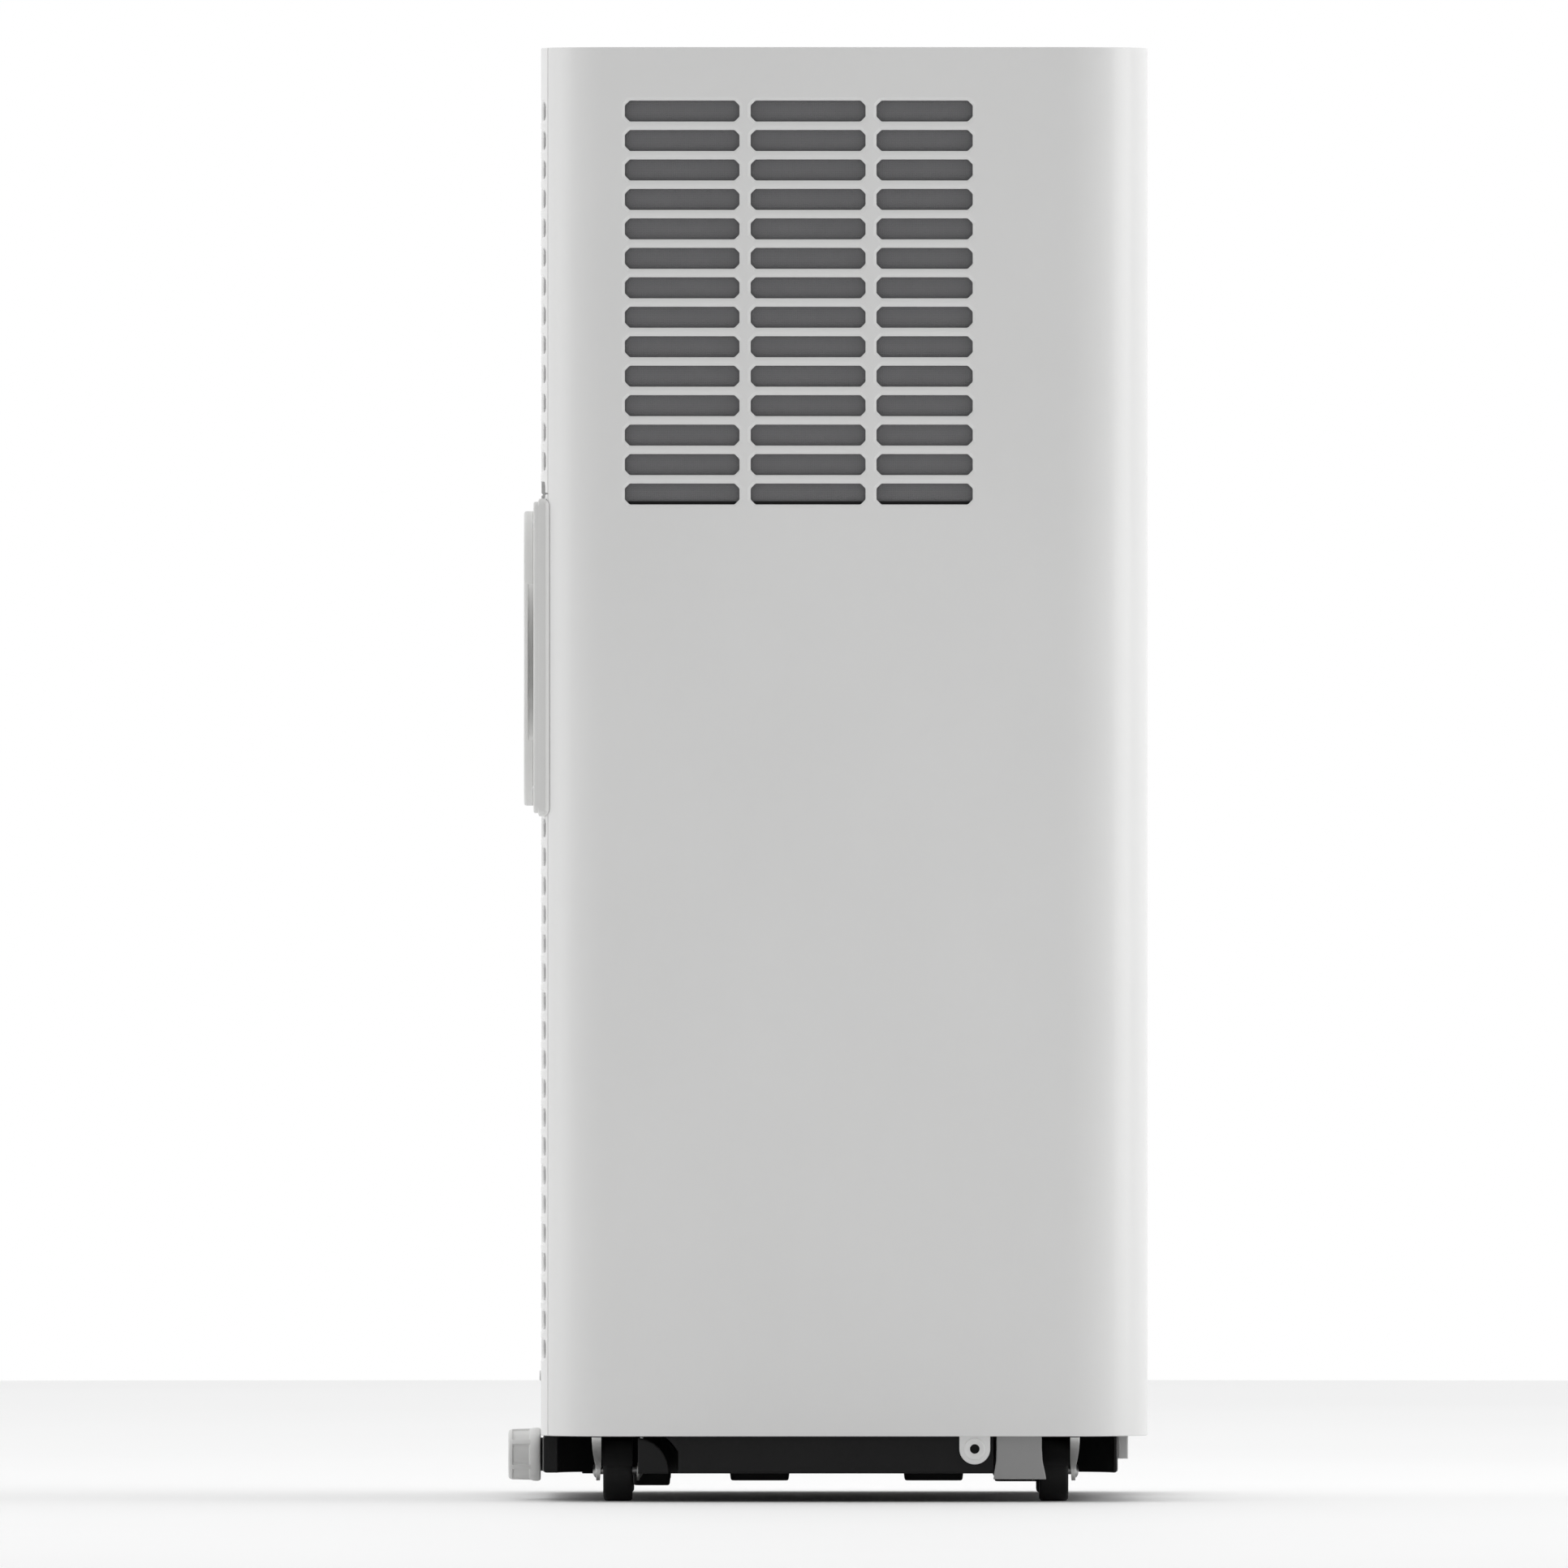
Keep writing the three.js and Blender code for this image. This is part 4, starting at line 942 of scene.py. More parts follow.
def outlet_bezel():
    rings = []
    for grow, y in ((6.0, -150.4), (6.0, -152.4), (5.85, -152.75), (5.5, -152.9), (1.8, -152.9),
        (1.1, -152.75),
                    (0.5, -152.3), (0.1, -151.5), (0.0, -150.6), (0.0, -108.4), (0.3, -108.0),
                        (2.2, -108.0),
                    (2.5, -108.3), (2.5, -150.4)):
        outline = rounded_rectangle(-OUTLET_U - grow, OUTLET_U + grow, OUTLET_Z - OUTLET_V - grow,
                                    OUTLET_Z + OUTLET_V + grow, 2.0 + 0.28 * grow, 6)
        rings.append([(u, y, v) for u, v in outline])
    piece = Piece()
    piece.loft(rings, closed=True)
    piece.finish("outlet_bezel_frame", "satin_white", replaces=["outlet_bezel"])


def foil(length, thick, nose, back, limit=None):
    """A slim section along its chord, from a round nose to a thin tail, as (along, across)."""
    front, rear = -length / 2, length / 2
    stop = rear if limit is None else limit
    half, tail = thick / 2, back / 2
    curve = [(front + nose * (1 - math.cos(math.radians(a))),
        half * math.sin(math.radians(a))) for a in range(0, 91, 18)]

    def height(at):
        share = max(0.0, (at - 3.0) / (rear - 3.0))
        return half + (tail - half) * share

    stations = [min(at, stop) for at in (3.0, 5.5, rear - 0.4)]
    upper = curve + [(at, height(at)) for at in stations] + [(stop, height(stop) * 0.7)]
    lower = [(at, -across) for at, across in reversed(upper[1:])]
    return upper + lower


def blade(index, z):
    body = f"louvre_blade_{index}"
    end, x = 101.0, BLADE_LINK_X
    piece = Piece()
    full, cut = foil(17.0, 3.0, 1.5, 1.6), foil(17.0, 3.0, 1.5, 1.6, limit=3.5)
    stations = [(-end, full, 0.7), (-end + 0.6, full, 1.0), (x - 3, full, 1.0), (x - 3, cut, 1.0),
                (x + 3, cut, 1.0), (x + 3, full, 1.0), (end - 0.6, full, 1.0), (end, full, 0.7)]
    piece.loft([[(at, BLADE_Y + along, z + across * size) for along, across in section]
                for at, section, size in stations])
    piece.turned(lambda u, v, w: (w, BLADE_Y + u, z + v), [(1.5, -104), (1.5, 104)], 20)
    piece.turned(lambda u, v, w: (w, -135.5 + u, z + v), [(1.2, x - 4), (1.2, x + 4)], 16)
    piece.finish(f"{body}_foil", "white_shell", body=body, replaces=[body])


def vane(index, x):
    body = f"air_vane_{index}"
    low, high = OUTLET_Z - OUTLET_V + 1, OUTLET_Z + OUTLET_V - 1
    piece = Piece()
    full, cut = foil(16.0, 1.8, 1.0, 1.2), foil(16.0, 1.8, 1.0, 1.2, limit=2.5)
    z = VANE_LINK_Z
    stations = [(low, full), (z - 3, full), (z - 3, cut), (z + 3, cut), (z + 3, full), (high, full)]
    piece.loft([[(x + across, VANE_Y + along, at) for along, across in section] for at,
        section in stations])
    piece.turned(lambda u, v, w: (x + u, VANE_Y + v, w), [(1.5, low - 3), (1.5, high + 3)], 20)
    piece.turned(lambda u, v, w: (x + u, -112.4 + v, w), [(1.2, z - 4), (1.2, z + 4)], 16)
    piece.finish(f"{body}_foil", "satin_white", body=body, replaces=[body])


def link(name, body, place, eyes):
    """A bar 3 mm thick with a round eye on each crank pin."""
    low, high = eyes[0] - 4.0, eyes[-1] + 4.0
    edges = [low] + [value for eye in eyes for value in (eye - 2.6, eye + 2.6)] + [high]
    slots = [(-1.5, 1.5, eye - 1.5, eye + 1.5, 1.5,
        (-2.3, 2.3, eye - 2.6, eye + 2.6)) for eye in eyes]
    piece = Piece()
    piece.sheet(place, [-2.6, -2.3, 2.3, 2.6], edges, slots, 3.0, fillet=0.25, rim=(0.25, 0.25),
        arc_steps=6)
    piece.finish(f"{name}_bar", "satin_white", body=body, replaces=[name])


outlet_bezel()
for index, z in enumerate(BLADES, 1):
    blade(index, z)
for index, x in enumerate(VANES, 1):
    vane(index, x)
link("louvre_link", "louvre_link", lambda u, v, w: (BLADE_LINK_X - 1.5 + w, -135.5 + u, v), BLADES)
link("vane_link", "vane_link", lambda u, v, w: (v, -112.4 + u, VANE_LINK_Z - 1.5 + w), VANES)

# ---- Exhaust port -----------------------------------------------------------------------------

PORT_Z, PORT_R = 403.5, 57.0
ADAPTER_HALF, ADAPTER_Z, ADAPTER_Y = 75.0, (332.6, 474.0), (141.0, 145.7)


def exhaust_frame():
    """A flat-backed plate that stands on the panel's bent corners, with a flange down each side."""
    z0, z1, half, corner = 329.1, 477.9, 145.3, 3.5
    profile = ((130.0, -1.7, -1.5), (133.2, -1.7, -1.5), (134.9, -0.1, -1.5), (137.9, -0.1, -1.5),
               (138.2, 0.0, -1.0), (138.5, 0.0, 0.0), (139.8, 0.0, 0.0), (140.3, 0.15, 0.15),
               (140.6, 0.5, 0.5), (140.7, 0.9, 0.9))
    plate = Piece()
    plate.loft([[(u, y, v) for u,
        v in rounded_rectangle(-half + side, half - side, z0 + end, z1 - end, corner)]
                for y, side, end in profile])
    panel = [(x, y) for x, y in arc_points(*BACK_CENTRE, BACK_R + GAP, 0, 60, 20)]
    panel += [(-x, y) for x, y in reversed(panel)]
    behind = prism(panel[::-1], along_z(), z0 - 5, z1 + 5)
    lower = prism(box_outline(-170, 170, 120, panel[20][1] + 1), along_z(), z0 - 5, z1 + 5)
    hole = Piece()
    hole.turned(lambda u, v, w: (u, w, PORT_Z + v),
                [(0.01, 125.0), (60.0, 125.0), (60.0, 139.7), (60.3, 140.4), (61.0, 140.71),
                    (61.0, 145.0), (0.01, 145.0)], 120)
    plate = merge(plate.made("exhaust_frame_plate"), "DIFFERENCE", behind, lower, hole.made("hole"))
    plate.name = "exhaust_frame_plate"
    dress(plate, "satin_white", replaces=["exhaust_frame"], smooth=40)


def exhaust_adapter():
    """The hose collar: a plate with a scooped finger grip on each side, and a round spigot."""
    z0, z1 = ADAPTER_Z
    grip_z0, grip_z1, depth = 364.0, 439.0, 8.0
    half = (grip_z1 - grip_z0) / 2
    scoop_r = (half ** 2 + depth ** 2) / (2 * depth)
    sweep = math.degrees(math.asin(half / scoop_r))
    middle = (grip_z0 + grip_z1) / 2
    right = arc_points(ADAPTER_HALF - depth + scoop_r, middle, scoop_r, 270 - sweep, 270 + sweep,
        24)
    corners = rounded_rectangle(-ADAPTER_HALF, ADAPTER_HALF, z0, z1, 22.0, 10)
    left = [(-u, v) for u, v in reversed(right)]
    outline = corners[:22] + right + corners[22:] + left
    centre = (0.0, PORT_Z)
    corner_angles = [math.atan2(v - PORT_Z, u) % (2 * math.pi) for u,
        v in (right[0], right[-1], left[0], left[-1])]
    angles = sorted([2 * math.pi * i / 180 for i in range(180)] + corner_angles)
    reach = [radial(outline, centre, angle) for angle in angles]

    def undercut(a, r):
        """How much deeper the hollow behind a grip's lip is, at an angle and reach of the outline."""
        along = (PORT_Z + r * math.sin(a) - grip_z0) / (grip_z1 - grip_z0)
        return 5.0 * math.sin(math.pi * along) ** 0.5 if 0 < along < 1 else 0.0

    def plate(inset, y, hollow=0.0):
        lengths = [r - inset - hollow * undercut(a, r) for a, r in zip(angles, reach)]
        return [(r * math.cos(a), y, PORT_Z + r * math.sin(a)) for a, r in zip(angles, lengths)]

    def pipe(radius, y):
        return [(radius * math.cos(a), y, PORT_Z + radius * math.sin(a)) for a in angles]

    y0, y1 = ADAPTER_Y
    rings = [plate(0.5, y0, 1.0), plate(0.0, y0 + 0.5, 1.0), plate(0.0, y0 + 2.4, 1.0),
        plate(0.0, y0 + 2.7, 0.1)]
    rings += [plate(0.0, y0 + 3.0), plate(0.0, y1 - 1.2), plate(0.35, y1 - 0.35), plate(1.2, y1)]
    rings += [pipe(PORT_R + 5.0, y1), pipe(PORT_R + 4.2, y1 - 0.9), pipe(PORT_R + 2.6, y1 - 0.9)]
    rings += [pipe(PORT_R + 1.8, y1), pipe(PORT_R + 0.8, y1), pipe(PORT_R + 0.2, y1 - 0.3),
        pipe(PORT_R, y1 - 1.0)]
    rings += [pipe(PORT_R, 125.4), pipe(PORT_R + 0.3, 125.2), pipe(PORT_R + 2.2, 125.2),
        pipe(PORT_R + 2.5, 125.5)]
    rings.append(pipe(PORT_R + 2.5, y0))
    piece = Piece()
    piece.loft(rings, closed=True)
    piece.finish("exhaust_adapter_collar", "satin_white", replaces=["exhaust_adapter"])


def exhaust_guard():
    """Rings and spokes across the duct, behind the reach of the hose."""
    piece = Piece()
    y0, y1 = 88.0, 91.0
    place = lambda u, v, w: (u, w, PORT_Z + v)
    for radius in (12.0, 24.0, 36.0, 48.0):
        section = [(radius - 0.7, y0), (radius + 0.7, y0), (radius + 0.7, y1 - 0.4),
            (radius + 0.3, y1),
                   (radius - 0.3, y1), (radius - 0.7, y1 - 0.4)]
        piece.turned(place, section, 72, closed=True)
    hub = [(0.01, y0), (4.5, y0), (4.5, y1 - 0.2), (3.8, y1 + 0.5), (0.01, y1 + 0.7)]
    piece.turned(place, hub, 36)
    for i in range(8):
        angle = math.radians(22.5 + 45 * i)
        du, dv = math.cos(angle), math.sin(angle)
        corners = ((3.5, -0.6), (59.0, -0.6), (59.0, 0.6), (3.5, 0.6))
        piece.slab([(r * du - t * dv, r * dv + t * du) for r, t in corners], place, y0, y1, 0.3)
    piece.finish("exhaust_guard", "black_plastic")


exhaust_frame()
exhaust_adapter()
exhaust_guard()

# ---- Base -------------------------------------------------------------------------------------

BASE_X, BASE_FRONT, BASE_BACK, BASE_Z = 160.0, -138.8, 136.4, (13.6, 52.0)
SWIVEL_X, SWIVEL_YS = 133.0, {"back": 100.4, "front": -108.1}
CASTERS = [(f"{end}_{label}", side * SWIVEL_X, y) for end, y in SWIVEL_YS.items() for label,
    side in SIDES]
DRAIN_X, DRAIN_Z = -70.0, 21.5


def well_outline(x, y, radius):
    """The plan of a caster's well: round inwards, and open to its corner of the base."""
    side, end = math.copysign(1, x), math.copysign(1, y)
    out, far = BASE_X + 5.0, 160.0
    points = [(out, abs(y) - radius), (out, far), (abs(x), far)]
    points += arc_points(abs(x), abs(y), radius, 0, -180, 24)
    points = [(side * u, end * v) for u, v in points]
    return points if side * end > 0 else points[::-1]


def base_pan():
    z0, z1 = BASE_Z
    wall, rim_back = 3.0, 134.1
    pan = prism(rounded_rectangle(-BASE_X, BASE_X, BASE_FRONT, BASE_BACK, 33, 14), along_z(), z0,
        31.1, 1.6)
    upper = prism(rounded_rectangle(-BASE_X, BASE_X, BASE_FRONT, rim_back, 33, 14), along_z(), 29.0,
        z1, 0.6)
    hollow = prism(rounded_rectangle(-BASE_X + wall, BASE_X - wall, BASE_FRONT + wall,
        rim_back - wall, 30, 14),
                   along_z(), z0 + wall, z1 + 5)
    around = [prism(well_outline(x, y, 32.0), along_z(), z0 - 5, 38.0) for _, x, y in CASTERS]
    merge(hollow, "DIFFERENCE", *around)
    wells = [prism(well_outline(x, y, 29.0), along_z(), z0 - 5, 35.0) for _, x, y in CASTERS]
    merge(pan, "UNION", upper)
    merge(pan, "DIFFERENCE", hollow, *wells)
    bore = prism(circle(DRAIN_X, DRAIN_Z, 5.0), lambda u, v, w: (u, w, v), 130.0, 140.0)
    merge(pan, "DIFFERENCE", bore)
    pan.name = "base_pan_tray"
    dress(pan, "black_plastic", replaces=["base_pan"], smooth=32)


def well_edge(piece, side):
    """The arched edge of a rear caster's well, and the rounded guard beside the caster."""
    centre = (90.7, BASE_Z[0])
    arch = [(centre[0] - 21.5 * math.cos(a), centre[1] + 21.5 * math.sin(a))
            for a in (math.radians(26 + (54 - 26) * i / 8) for i in range(9))]
    outline = [(71.0, 31.0), (71.0, arch[0][1]), *arch, (arch[-1][0], 31.0)]
    near, far = sorted((side * 156.8, side * 160.0))
    piece.slab(outline, along_x(), near, far, 0.3)
    guard = [(centre[0] - 14.7 * math.cos(a), centre[1] + 17.0 * math.sin(a))
             for a in (math.radians(90 * i / 14) for i in range(15))]
    near, far = sorted((side * 157.4, side * 159.8))
    piece.slab([(90.7, BASE_Z[0]), (90.7, 30.6), *guard[::-1][1:]], along_x(), near, far, 1.1)


def base_fittings():
    """Feet, ribs and the drain spout under and behind the base."""
    piece = Piece()
    top = BASE_Z[0] + 1.0
    for side in (-1, 1):
        for y0, y1, bottom in ((18.6, 46.5, 9.3), (-64.7, -36.8, 9.3), (-104.6, -79.9, 8.9),
            (75.6, 93.0, 7.0)):
            u0, u1 = sorted((side * 62.0, side * 98.0))
            rings = [(0.9, bottom), (0.3, bottom + 0.3), (0.0, bottom + 1.0), (-0.5, top)]
            piece.loft([[(u, v, w) for u,
                v in rounded_rectangle(u0 + inset, u1 - inset, y0 + inset, y1 - inset, 3.0, 5)]
                        for inset, w in rings])
    for x in (-30.0, 0.0, 30.0):
        piece.slab(rounded_rectangle(x - 1.5, x + 1.5, -120, 118, 1.4, 4), along_z(),
            BASE_Z[0] - 2.0, top, 0.5)
    for side in (-1, 1):
        well_edge(piece, side)
    spout = [(5.0, 134.0), (8.0, 134.0), (8.0, 145.3), (7.6, 146.1), (5.4, 146.1), (5.0, 145.7)]
    piece.turned(lambda u, v, w: (DRAIN_X + u, w, DRAIN_Z + v), spout, 40, closed=True)
    piece.finish("base_feet", "black_plastic")


def skirt_plate(label, side):
    outline = [(-104.3, 10.9), (-79.1, 10.9), (-79.5, 14.0), (-80.4, 19.5), (-80.6, 26.0),
        (-80.6, 46),
               (-102.2, 46), (-102.2, 26.0), (-102.6, 19.5), (-103.8, 14.0)]
    near, far = sorted((side * 160.3, side * 162.2))
    piece = Piece()
    piece.slab(outline, along_x(), near, far, 0.7)
    piece.finish(f"skirt_plate_{label}_face", "grey_plastic", replaces=[f"skirt_plate_{label}"])


def fork(name, x, y):
    """A pressed zinc fork: a raceway crown and stem, with two channel arms that taper to the axle."""
    inwards = -math.copysign(1, x)
    axle = x + inwards * 9.0
    piece = Piece()
    crown = [(0.01, 30.9), (8.0, 30.9), (11.2, 31.0), (12.0, 31.4), (12.2, 32.0), (11.8, 32.7),
        (9.5, 33.0),
             (6.0, 33.3), (4.0, 33.4), (4.0, 48.6), (3.4, 49.6), (0.01, 50.0)]
    piece.turned(along_z(x, y), crown, 56)
    stations = [(32.2, 10.4, 12.2, 3.4), (30.6, 11.0, 12.4, 4.2), (28.0, 10.6, 12.3, 4.4),
        (24.0, 8.8, 12.0, 3.8),
                (20.0, 6.6, 11.4, 2.6), (17.0, 5.0, 10.8, 1.5), (14.7, 4.5, 10.5, 0.9),
                    (12.2, 4.0, 10.4, 0.7),
                (10.6, 2.8, 10.4, 0.6), (9.8, 1.4, 10.4, 0.5)]
    thick = 1.3
    for way in (-1, 1):
        lips = 1.0 if way == math.copysign(1, y) else 0.1
        rings = []
        for z, half, out, deep in stations:
            share = min(1.0, max(0.0, (31.0 - z) / (31.0 - 16.0)))
            middle = x + (axle - x) * share * share * (3 - 2 * share)
            web = out - thick
            lip = max(out - thick - deep * lips, 7.9)
            wall = min(thick, half * 0.45)
            section = [(-half + 0.4, out), (half - 0.4, out), (half, out - 0.4), (half, lip),
                (half - wall, lip),
                       (half - wall, web), (-half + wall, web), (-half + wall, lip), (-half, lip),
                           (-half, out - 0.4)]
            rings.append([(middle + u, y + way * v, z) for u, v in section])
        piece.loft(rings)
    piece.finish(f"caster_fork_{name}_frame", "zinc", body=f"caster_fork_{name}",
                 replaces=[f"caster_fork_{name}"], smooth=40)
    hood = Piece()
    outline = [(axle + u, v) for u, v in arc_points(0, 14.7, 15.7, -82, 82, 32)]
    outline += [(axle + u, v) for u, v in arc_points(0, 14.7, 15.1, 82, -82, 32)]
    hood.slab(outline[::-1], lambda u, v, w: (u, w, v), y - 7.2, y + 7.2, 0.2)
    hood.finish(f"caster_hood_{name}", "black_plastic", body=f"caster_fork_{name}")


def wheel(name, x, y):
    axle = x - math.copysign(1, x) * 9.0
    profile = [(2.1, -6.9), (4.6, -6.9), (5.2, -6.6), (5.6, -5.4), (9.6, -5.2), (10.4, -6.2),
        (11.0, -6.8),
               (12.6, -7.0), (13.6, -6.85), (14.3, -6.35), (14.62, -5.7), (14.7, -4.9),
                   (14.7, -2.4),
               (14.7, 2.4), (14.7, 4.9), (14.62, 5.7), (14.3, 6.35), (13.6, 6.85), (12.6, 7.0),
                   (11.0, 6.8),
               (10.4, 6.2), (9.6, 5.2), (5.6, 5.4), (5.2, 6.6), (4.6, 6.9), (2.1, 6.9)]
    piece = Piece()
    place = along_y(axle, y, 14.7)
    piece.turned(place, profile, 64, closed=True)
    for i in range(6):
        angle = math.radians(60 * i)
        du, dv = math.cos(angle), math.sin(angle)
        for w0, w1 in ((-6.4, -5.0), (5.0, 6.4)):
            spoke = [(5.0 * du - 0.6 * dv, 5.0 * dv + 0.6 * du),
                (5.0 * du + 0.6 * dv, 5.0 * dv - 0.6 * du),
                     (10.6 * du + 0.6 * dv, 10.6 * dv - 0.6 * du),
                         (10.6 * du - 0.6 * dv, 10.6 * dv + 0.6 * du)]
            piece.slab(spoke, place, w0, w1)
    piece.finish(f"caster_wheel_{name}_tyre", "black_plastic", body=f"caster_wheel_{name}",
                 replaces=[f"caster_wheel_{name}"])
    pin = Piece()
    rivet = [(0.01, -12.0), (1.4, -11.9), (2.6, -11.5), (3.4, -10.9), (3.6, -10.5), (2.0, -10.4)]
    rivet += [(r, -w) for r, w in reversed(rivet)]
    pin.turned(place, rivet, 32)
    pin.finish(f"caster_axle_{name}_rivet", "steel", body=f"caster_fork_{name}",
        replaces=[f"caster_axle_{name}"])


def drain_cap():
    """A screw cap with six wide recessed flats between raised ribs, and a bulged collar."""
    count, recess = 6, 0.95
    profile = [(0.01, 152.3, 0), (7.5, 152.3, 0), (8.4, 152.6, 0), (9.2, 153.1, 0),
        (10.6, 153.1, 0), (11.5, 152.7, 0),
               (11.9, 152.0, 0), (12.05, 151.2, 0.15), (12.1, 150.6, 1), (12.3, 143.2, 1),
                   (12.35, 142.6, 0.15),
               (12.4, 142.0, 0), (12.7, 141.2, 0), (12.8, 140.0, 0), (12.8, 138.8, 0),
                   (12.5, 138.0, 0),
               (11.9, 137.6, 0), (9.0, 137.6, 0), (8.6, 138.0, 0), (8.6, 150.1, 0),
                   (0.01, 150.1, 0)]
    sides = 144
    rings = []
    for radius, along, depth in profile:
        ring = []
        for i in range(sides):
            angle = 2 * math.pi * i / sides
            turn = (angle / (2 * math.pi / count)) % 1.0
            share = (min(turn, 1 - turn) - 0.365) / 0.05
            sunk = 1.0 - min(1.0, max(0.0, share))
            sunk = sunk * sunk * (3 - 2 * sunk)
            r = radius - recess * depth * sunk
            ring.append((DRAIN_X + r * math.cos(angle), along, DRAIN_Z + r * math.sin(angle)))
        rings.append(ring)
    piece = Piece()
    piece.loft(rings)
    piece.finish("drain_cap_grip", "satin_white", body="drain_cap", replaces=["drain_cap"],
        smooth=30)


base_pan()
base_fittings()
for label, side in SIDES:
    skirt_plate(label, side)
for name, x, y in CASTERS:
    fork(name, x, y)
    wheel(name, x, y)
drain_cap()

# ---- Filters and coils ------------------------------------------------------------------------


def screen(name, place, us, vs, w0, w1):
    """A screen in a thin frame: a fine sheet, with a border round it."""
    border = 4.0
    middle = (w0 + w1) / 2
    mesh = Piece()
    mesh.slab(box_outline(us[0] + 1, us[-1] - 1, vs[0] + 1, vs[-1] - 1), place, middle - 0.2,
        middle + 0.2)
    mesh.finish(f"{name}_screen", "filter_mesh", replaces=[name], body=BODY_OF[name])
    frame_piece = Piece()
    cell = (us[0] + 3, us[-1] - 3, vs[0] + 3, vs[-1] - 3)
    hole = (us[0] + border, us[-1] - border, vs[0] + border, vs[-1] - border, 1.5, cell)
    frame_piece.sheet(lambda u, v, w: place(u, v, w0 + w), [us[0], cell[0], cell[1], us[-1]],
                      [vs[0], cell[2], cell[3], vs[-1]], [hole], w1 - w0, fillet=0.3,
                          rim=(0.3, 0.3))
    frame_piece.finish(f"{name}_frame", "black_plastic", body=BODY_OF[name])


BODY_OF = {node: body for body,
    nodes in frame["record"]["behaviour"]["bodies"].items() for node in nodes}


def coil(name, half, y0, y1, z0, z1):
    """A finned coil: a stack of thin fins on level tubes, with end plates and return bends."""
    fins = Piece()
    pitch, thick = 2.2, 0.35
    count = int((2 * half - 6) / pitch)
    for i in range(count + 1):
        x = -half + 3 + (2 * half - 6) * i / count
        fins.slab(box_outline(y0, y1, z0, z1), lambda u, v, w, x=x: (x + w, u, v), -thick / 2,
            thick / 2)
    for side in (-1, 1):
        x = side * (half - 1)
        fins.slab(rounded_rectangle(y0 - 2, y1 + 1, z0 - 2, z1 + 2, 1.5, 3), lambda u, v, w,
            x=x: (x + w, u, v),
                  -1.0, 1.0)
    fins.finish(f"{name}_fins", "fins", replaces=[name])
    tubes = Piece()
    rows = 8
    step = (z1 - z0) / rows
    heights = [z0 + step * (i + 0.5) for i in range(rows)]
    middle = (y0 + y1) / 2
    for z in heights:
        tubes.turned(lambda u, v, w: (w, middle + u, z + v),
            [(3.4, -half + 1.5), (3.4, half - 1.5)], 14)
    for side in (-1, 1):
        pairs = list(zip(heights[0::2], heights[1::2])) if side > 0 else list(zip(heights[1::2],
            heights[2::2]))
        for low, high in pairs:
            radius, centre = (high - low) / 2, (low + high) / 2
            bend = []
            reach = min(radius, 11.0)
            for k in range(13):
                a = math.radians(-90 + 180 * k / 12)
                px, pz = side * (half - 0.5 + reach * math.cos(a)), centre + radius * math.sin(a)
                nx, nz = side * math.cos(a), math.sin(a)
                bend.append([(px + 3.0 * math.cos(t) * nx, middle + 3.0 * math.sin(t),
                    pz + 3.0 * math.cos(t) * nz)
                             for t in (2 * math.pi * j / 12 for j in range(12))])
            tubes.loft(bend)
    tubes.finish(f"{name}_tubes", "copper")


for label, side in SIDES:
    screen(f"side_filter_{label}", lambda u, v, w, side=side: (side * w, u, v), (-76.0, 101.0),
        (474.0, 674.0),
           159.6, 162.2)
screen("back_filter", lambda u, v, w: (u, w, v), (-126.0, 126.0), (490.0, 684.0), 128.0, 131.0)
coil("evaporator", 120.0, 97.0, 125.0, 492.0, 680.0)
coil("condenser", 128.0, 97.0, 125.0, 56.0, 316.0)

# ---- Screws -----------------------------------------------------------------------------------


def screw(name, place, radius, material="steel", body=CASING):
    """A pan head with a cross recess; place puts its seat at w = 0 and its head towards +w."""
    arm, reach = radius * 0.13, radius * 0.56
    cross = [(reach, -arm), (reach, arm), (arm, arm), (arm, reach), (-arm, reach), (-arm, arm),
        (-reach, arm),
             (-reach, -arm), (-arm, -arm), (-arm, -reach), (arm, -reach), (arm, -arm)]
    angles = sorted({round(math.atan2(v, u) % (2 * math.pi), 6) for u, v in cross}
                    | {round(2 * math.pi * i / 40, 6) for i in range(40)})
    reaches = [radial(cross, (0.0, 0.0), a) for a in angles]

    def ring(lengths, w):
        return [place(r * math.cos(a), r * math.sin(a), w) for a, r in zip(angles, lengths)]

    def level(r, w):
        return ring([r] * len(angles), w)

    top = radius * 0.45
    rings = [level(radius * 0.94, -0.3), level(radius, 0.0), level(radius, top * 0.35),
        level(radius * 0.93, top * 0.75),
             level(radius * 0.78, top), ring(reaches, top),
                 ring([r * 0.8 for r in reaches], top * 0.25)]
    piece = Piece()
    piece.loft(rings)
    piece.finish(name, material, body=body, smooth=40)


for label, side in SIDES:
    for i, z in enumerate((60.0, 350.0, 460.0), 1):
        screw(f"back_screw_{label}_{i}", lambda u, v, w, side=side,
            z=z: (side * 126.0 + u, BACK_Y - 0.5 + w, z + v), 2.6)
    for i, z in enumerate((340.0, 467.0), 1):
        screw(f"frame_screw_{label}_{i}",
              lambda u, v, w, side=side, z=z: (side * 100.0 + u, BACK_Y + 3.3 + w, z + v), 2.2)

# ---- Inside pieces that keep their CAD shape --------------------------------------------------

KEPT = {
    "control_board": "circuit_board", "drain_plug": "rubber",
        "cool_blower_housing": "black_plastic",
    "heat_blower_housing": "black_plastic", "cool_blower_wheel": "black_plastic",
        "heat_blower_wheel": "black_plastic",
    "cool_blower_motor": "steel", "heat_blower_motor": "steel", "compressor": "black_paint",
    "accumulator": "black_paint", "discharge_tube": "copper", "suction_tube": "copper",
        "capillary_tube": "copper",
    "divider_tray": "grey_plastic", "electrical_box": "zinc", "run_capacitor": "light_grey",
}

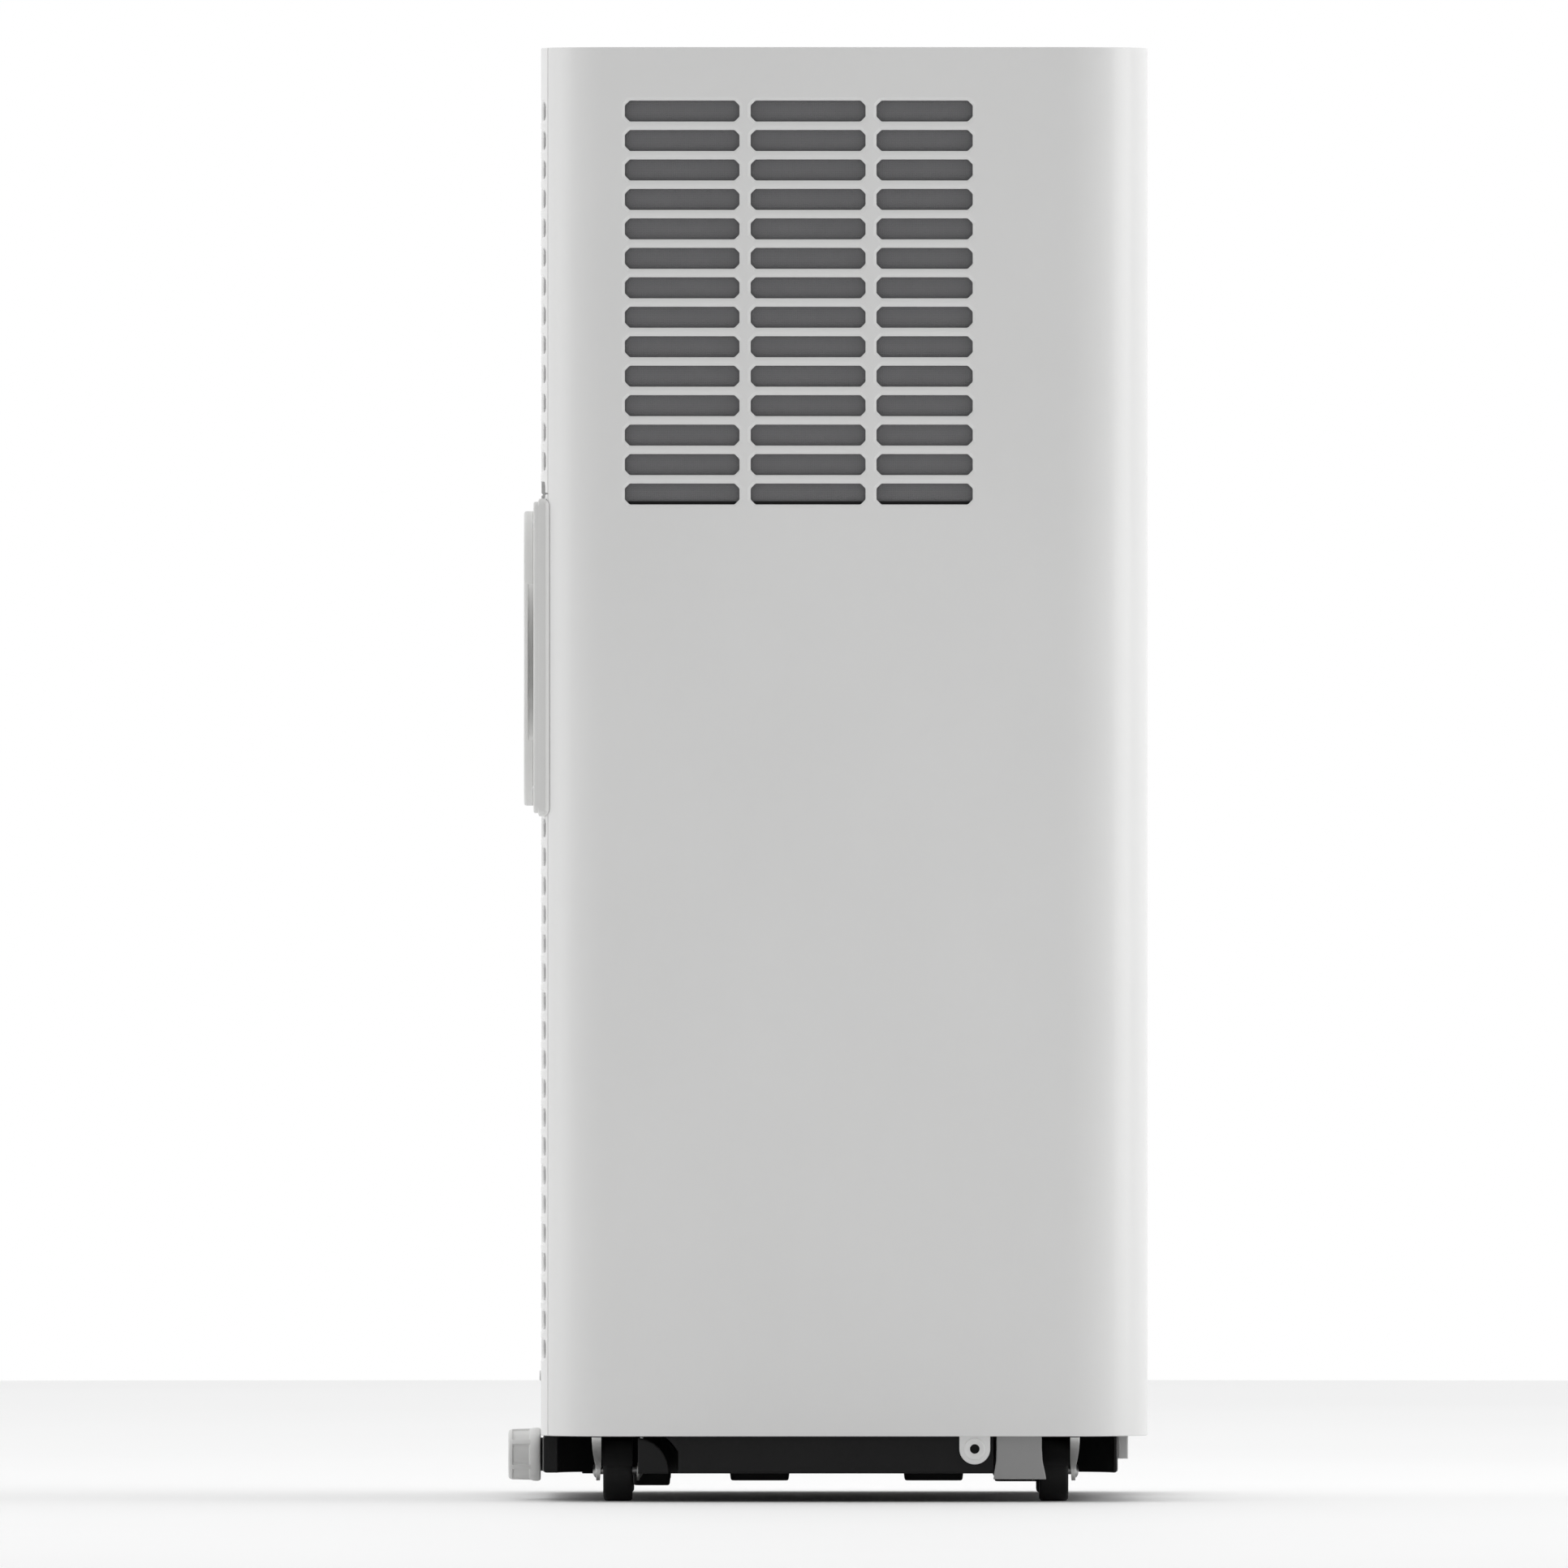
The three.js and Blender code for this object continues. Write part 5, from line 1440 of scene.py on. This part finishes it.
for node, material in KEPT.items():
    piece = frame["nodes"][node]
    piece.data.materials.clear()
    piece.data.materials.append(MATERIALS[material])

# ---- Floor, light and camera ------------------------------------------------------------------

FLOOR_R = 4100.0


def floor_material():
    nodes = Nodes("floor_paint")
    tone = nodes.ramp(nodes.noise(1.5, 4.0), [(0.3, (0.93, 0.93, 0.93)), (0.7, (0.95, 0.95, 0.95))])
    nodes.link(tone, nodes.shader.inputs["Base Color"])
    nodes.link(nodes.scaled(nodes.noise(6.0, 4.0), 0.55, 0.7), nodes.shader.inputs["Roughness"])
    nodes.bump(nodes.noise(300.0, 3.0), 2e-5)
    return nodes.material


def add_floor():
    piece = Piece()
    piece.turned(along_z(), [(0.01, -4.0), (FLOOR_R, -4.0), (FLOOR_R, 0.0), (0.01, 0.0)], 128)
    floor = piece.made("floor")
    floor.data.materials.append(floor_material())


def add_area(name, place, target, size, energy):
    data = bpy.data.lights.new(name, "AREA")
    data.shape = "RECTANGLE"
    data.size, data.size_y = size
    data.energy = energy
    light = bpy.data.objects.new(name, data)
    bpy.context.collection.objects.link(light)
    light.visible_camera = False
    light.location = place
    light.rotation_euler = (Vector(target) - Vector(place)).to_track_quat("-Z", "Y").to_euler()


def add_world():
    """A pale room, a little dimmer on the side that faces the object's left."""
    world = bpy.data.worlds.new("room")
    world.use_nodes = True
    tree = world.node_tree
    background = tree.nodes["Background"]
    where = tree.nodes.new("ShaderNodeTexCoord").outputs["Generated"]
    parts = tree.nodes.new("ShaderNodeSeparateXYZ")
    tree.links.new(where, parts.inputs["Vector"])
    ramp = tree.nodes.new("ShaderNodeValToRGB")
    low, high = ramp.color_ramp.elements
    low.position, low.color = 0.16, (0.41, 0.41, 0.41, 1)
    high.position, high.color = 0.5, (1.0, 1.0, 1.0, 1)
    spread = tree.nodes.new("ShaderNodeMapRange")
    spread.inputs["From Min"].default_value = -1.0
    tree.links.new(parts.outputs["X"], spread.inputs["Value"])
    tree.links.new(spread.outputs["Result"], ramp.inputs["Fac"])
    tree.links.new(ramp.outputs["Color"], background.inputs["Color"])
    background.inputs["Strength"].default_value = 1.0
    bpy.context.scene.world = world


add_camera()
add_floor()
add_world()
add_area("front_softbox", (-0.2, -2.2, 0.9), (0, 0, 0.35), (1.2, 1.8), 9)
add_area("back_softbox", (-0.2, 2.2, 0.9), (0, 0, 0.35), (1.2, 1.8), 4)
add_area("top_softbox", (0.0, 0.0, 4.0), (0, 0, 0), (8.0, 8.0), 44)
bpy.context.scene.view_settings.view_transform = "Standard"
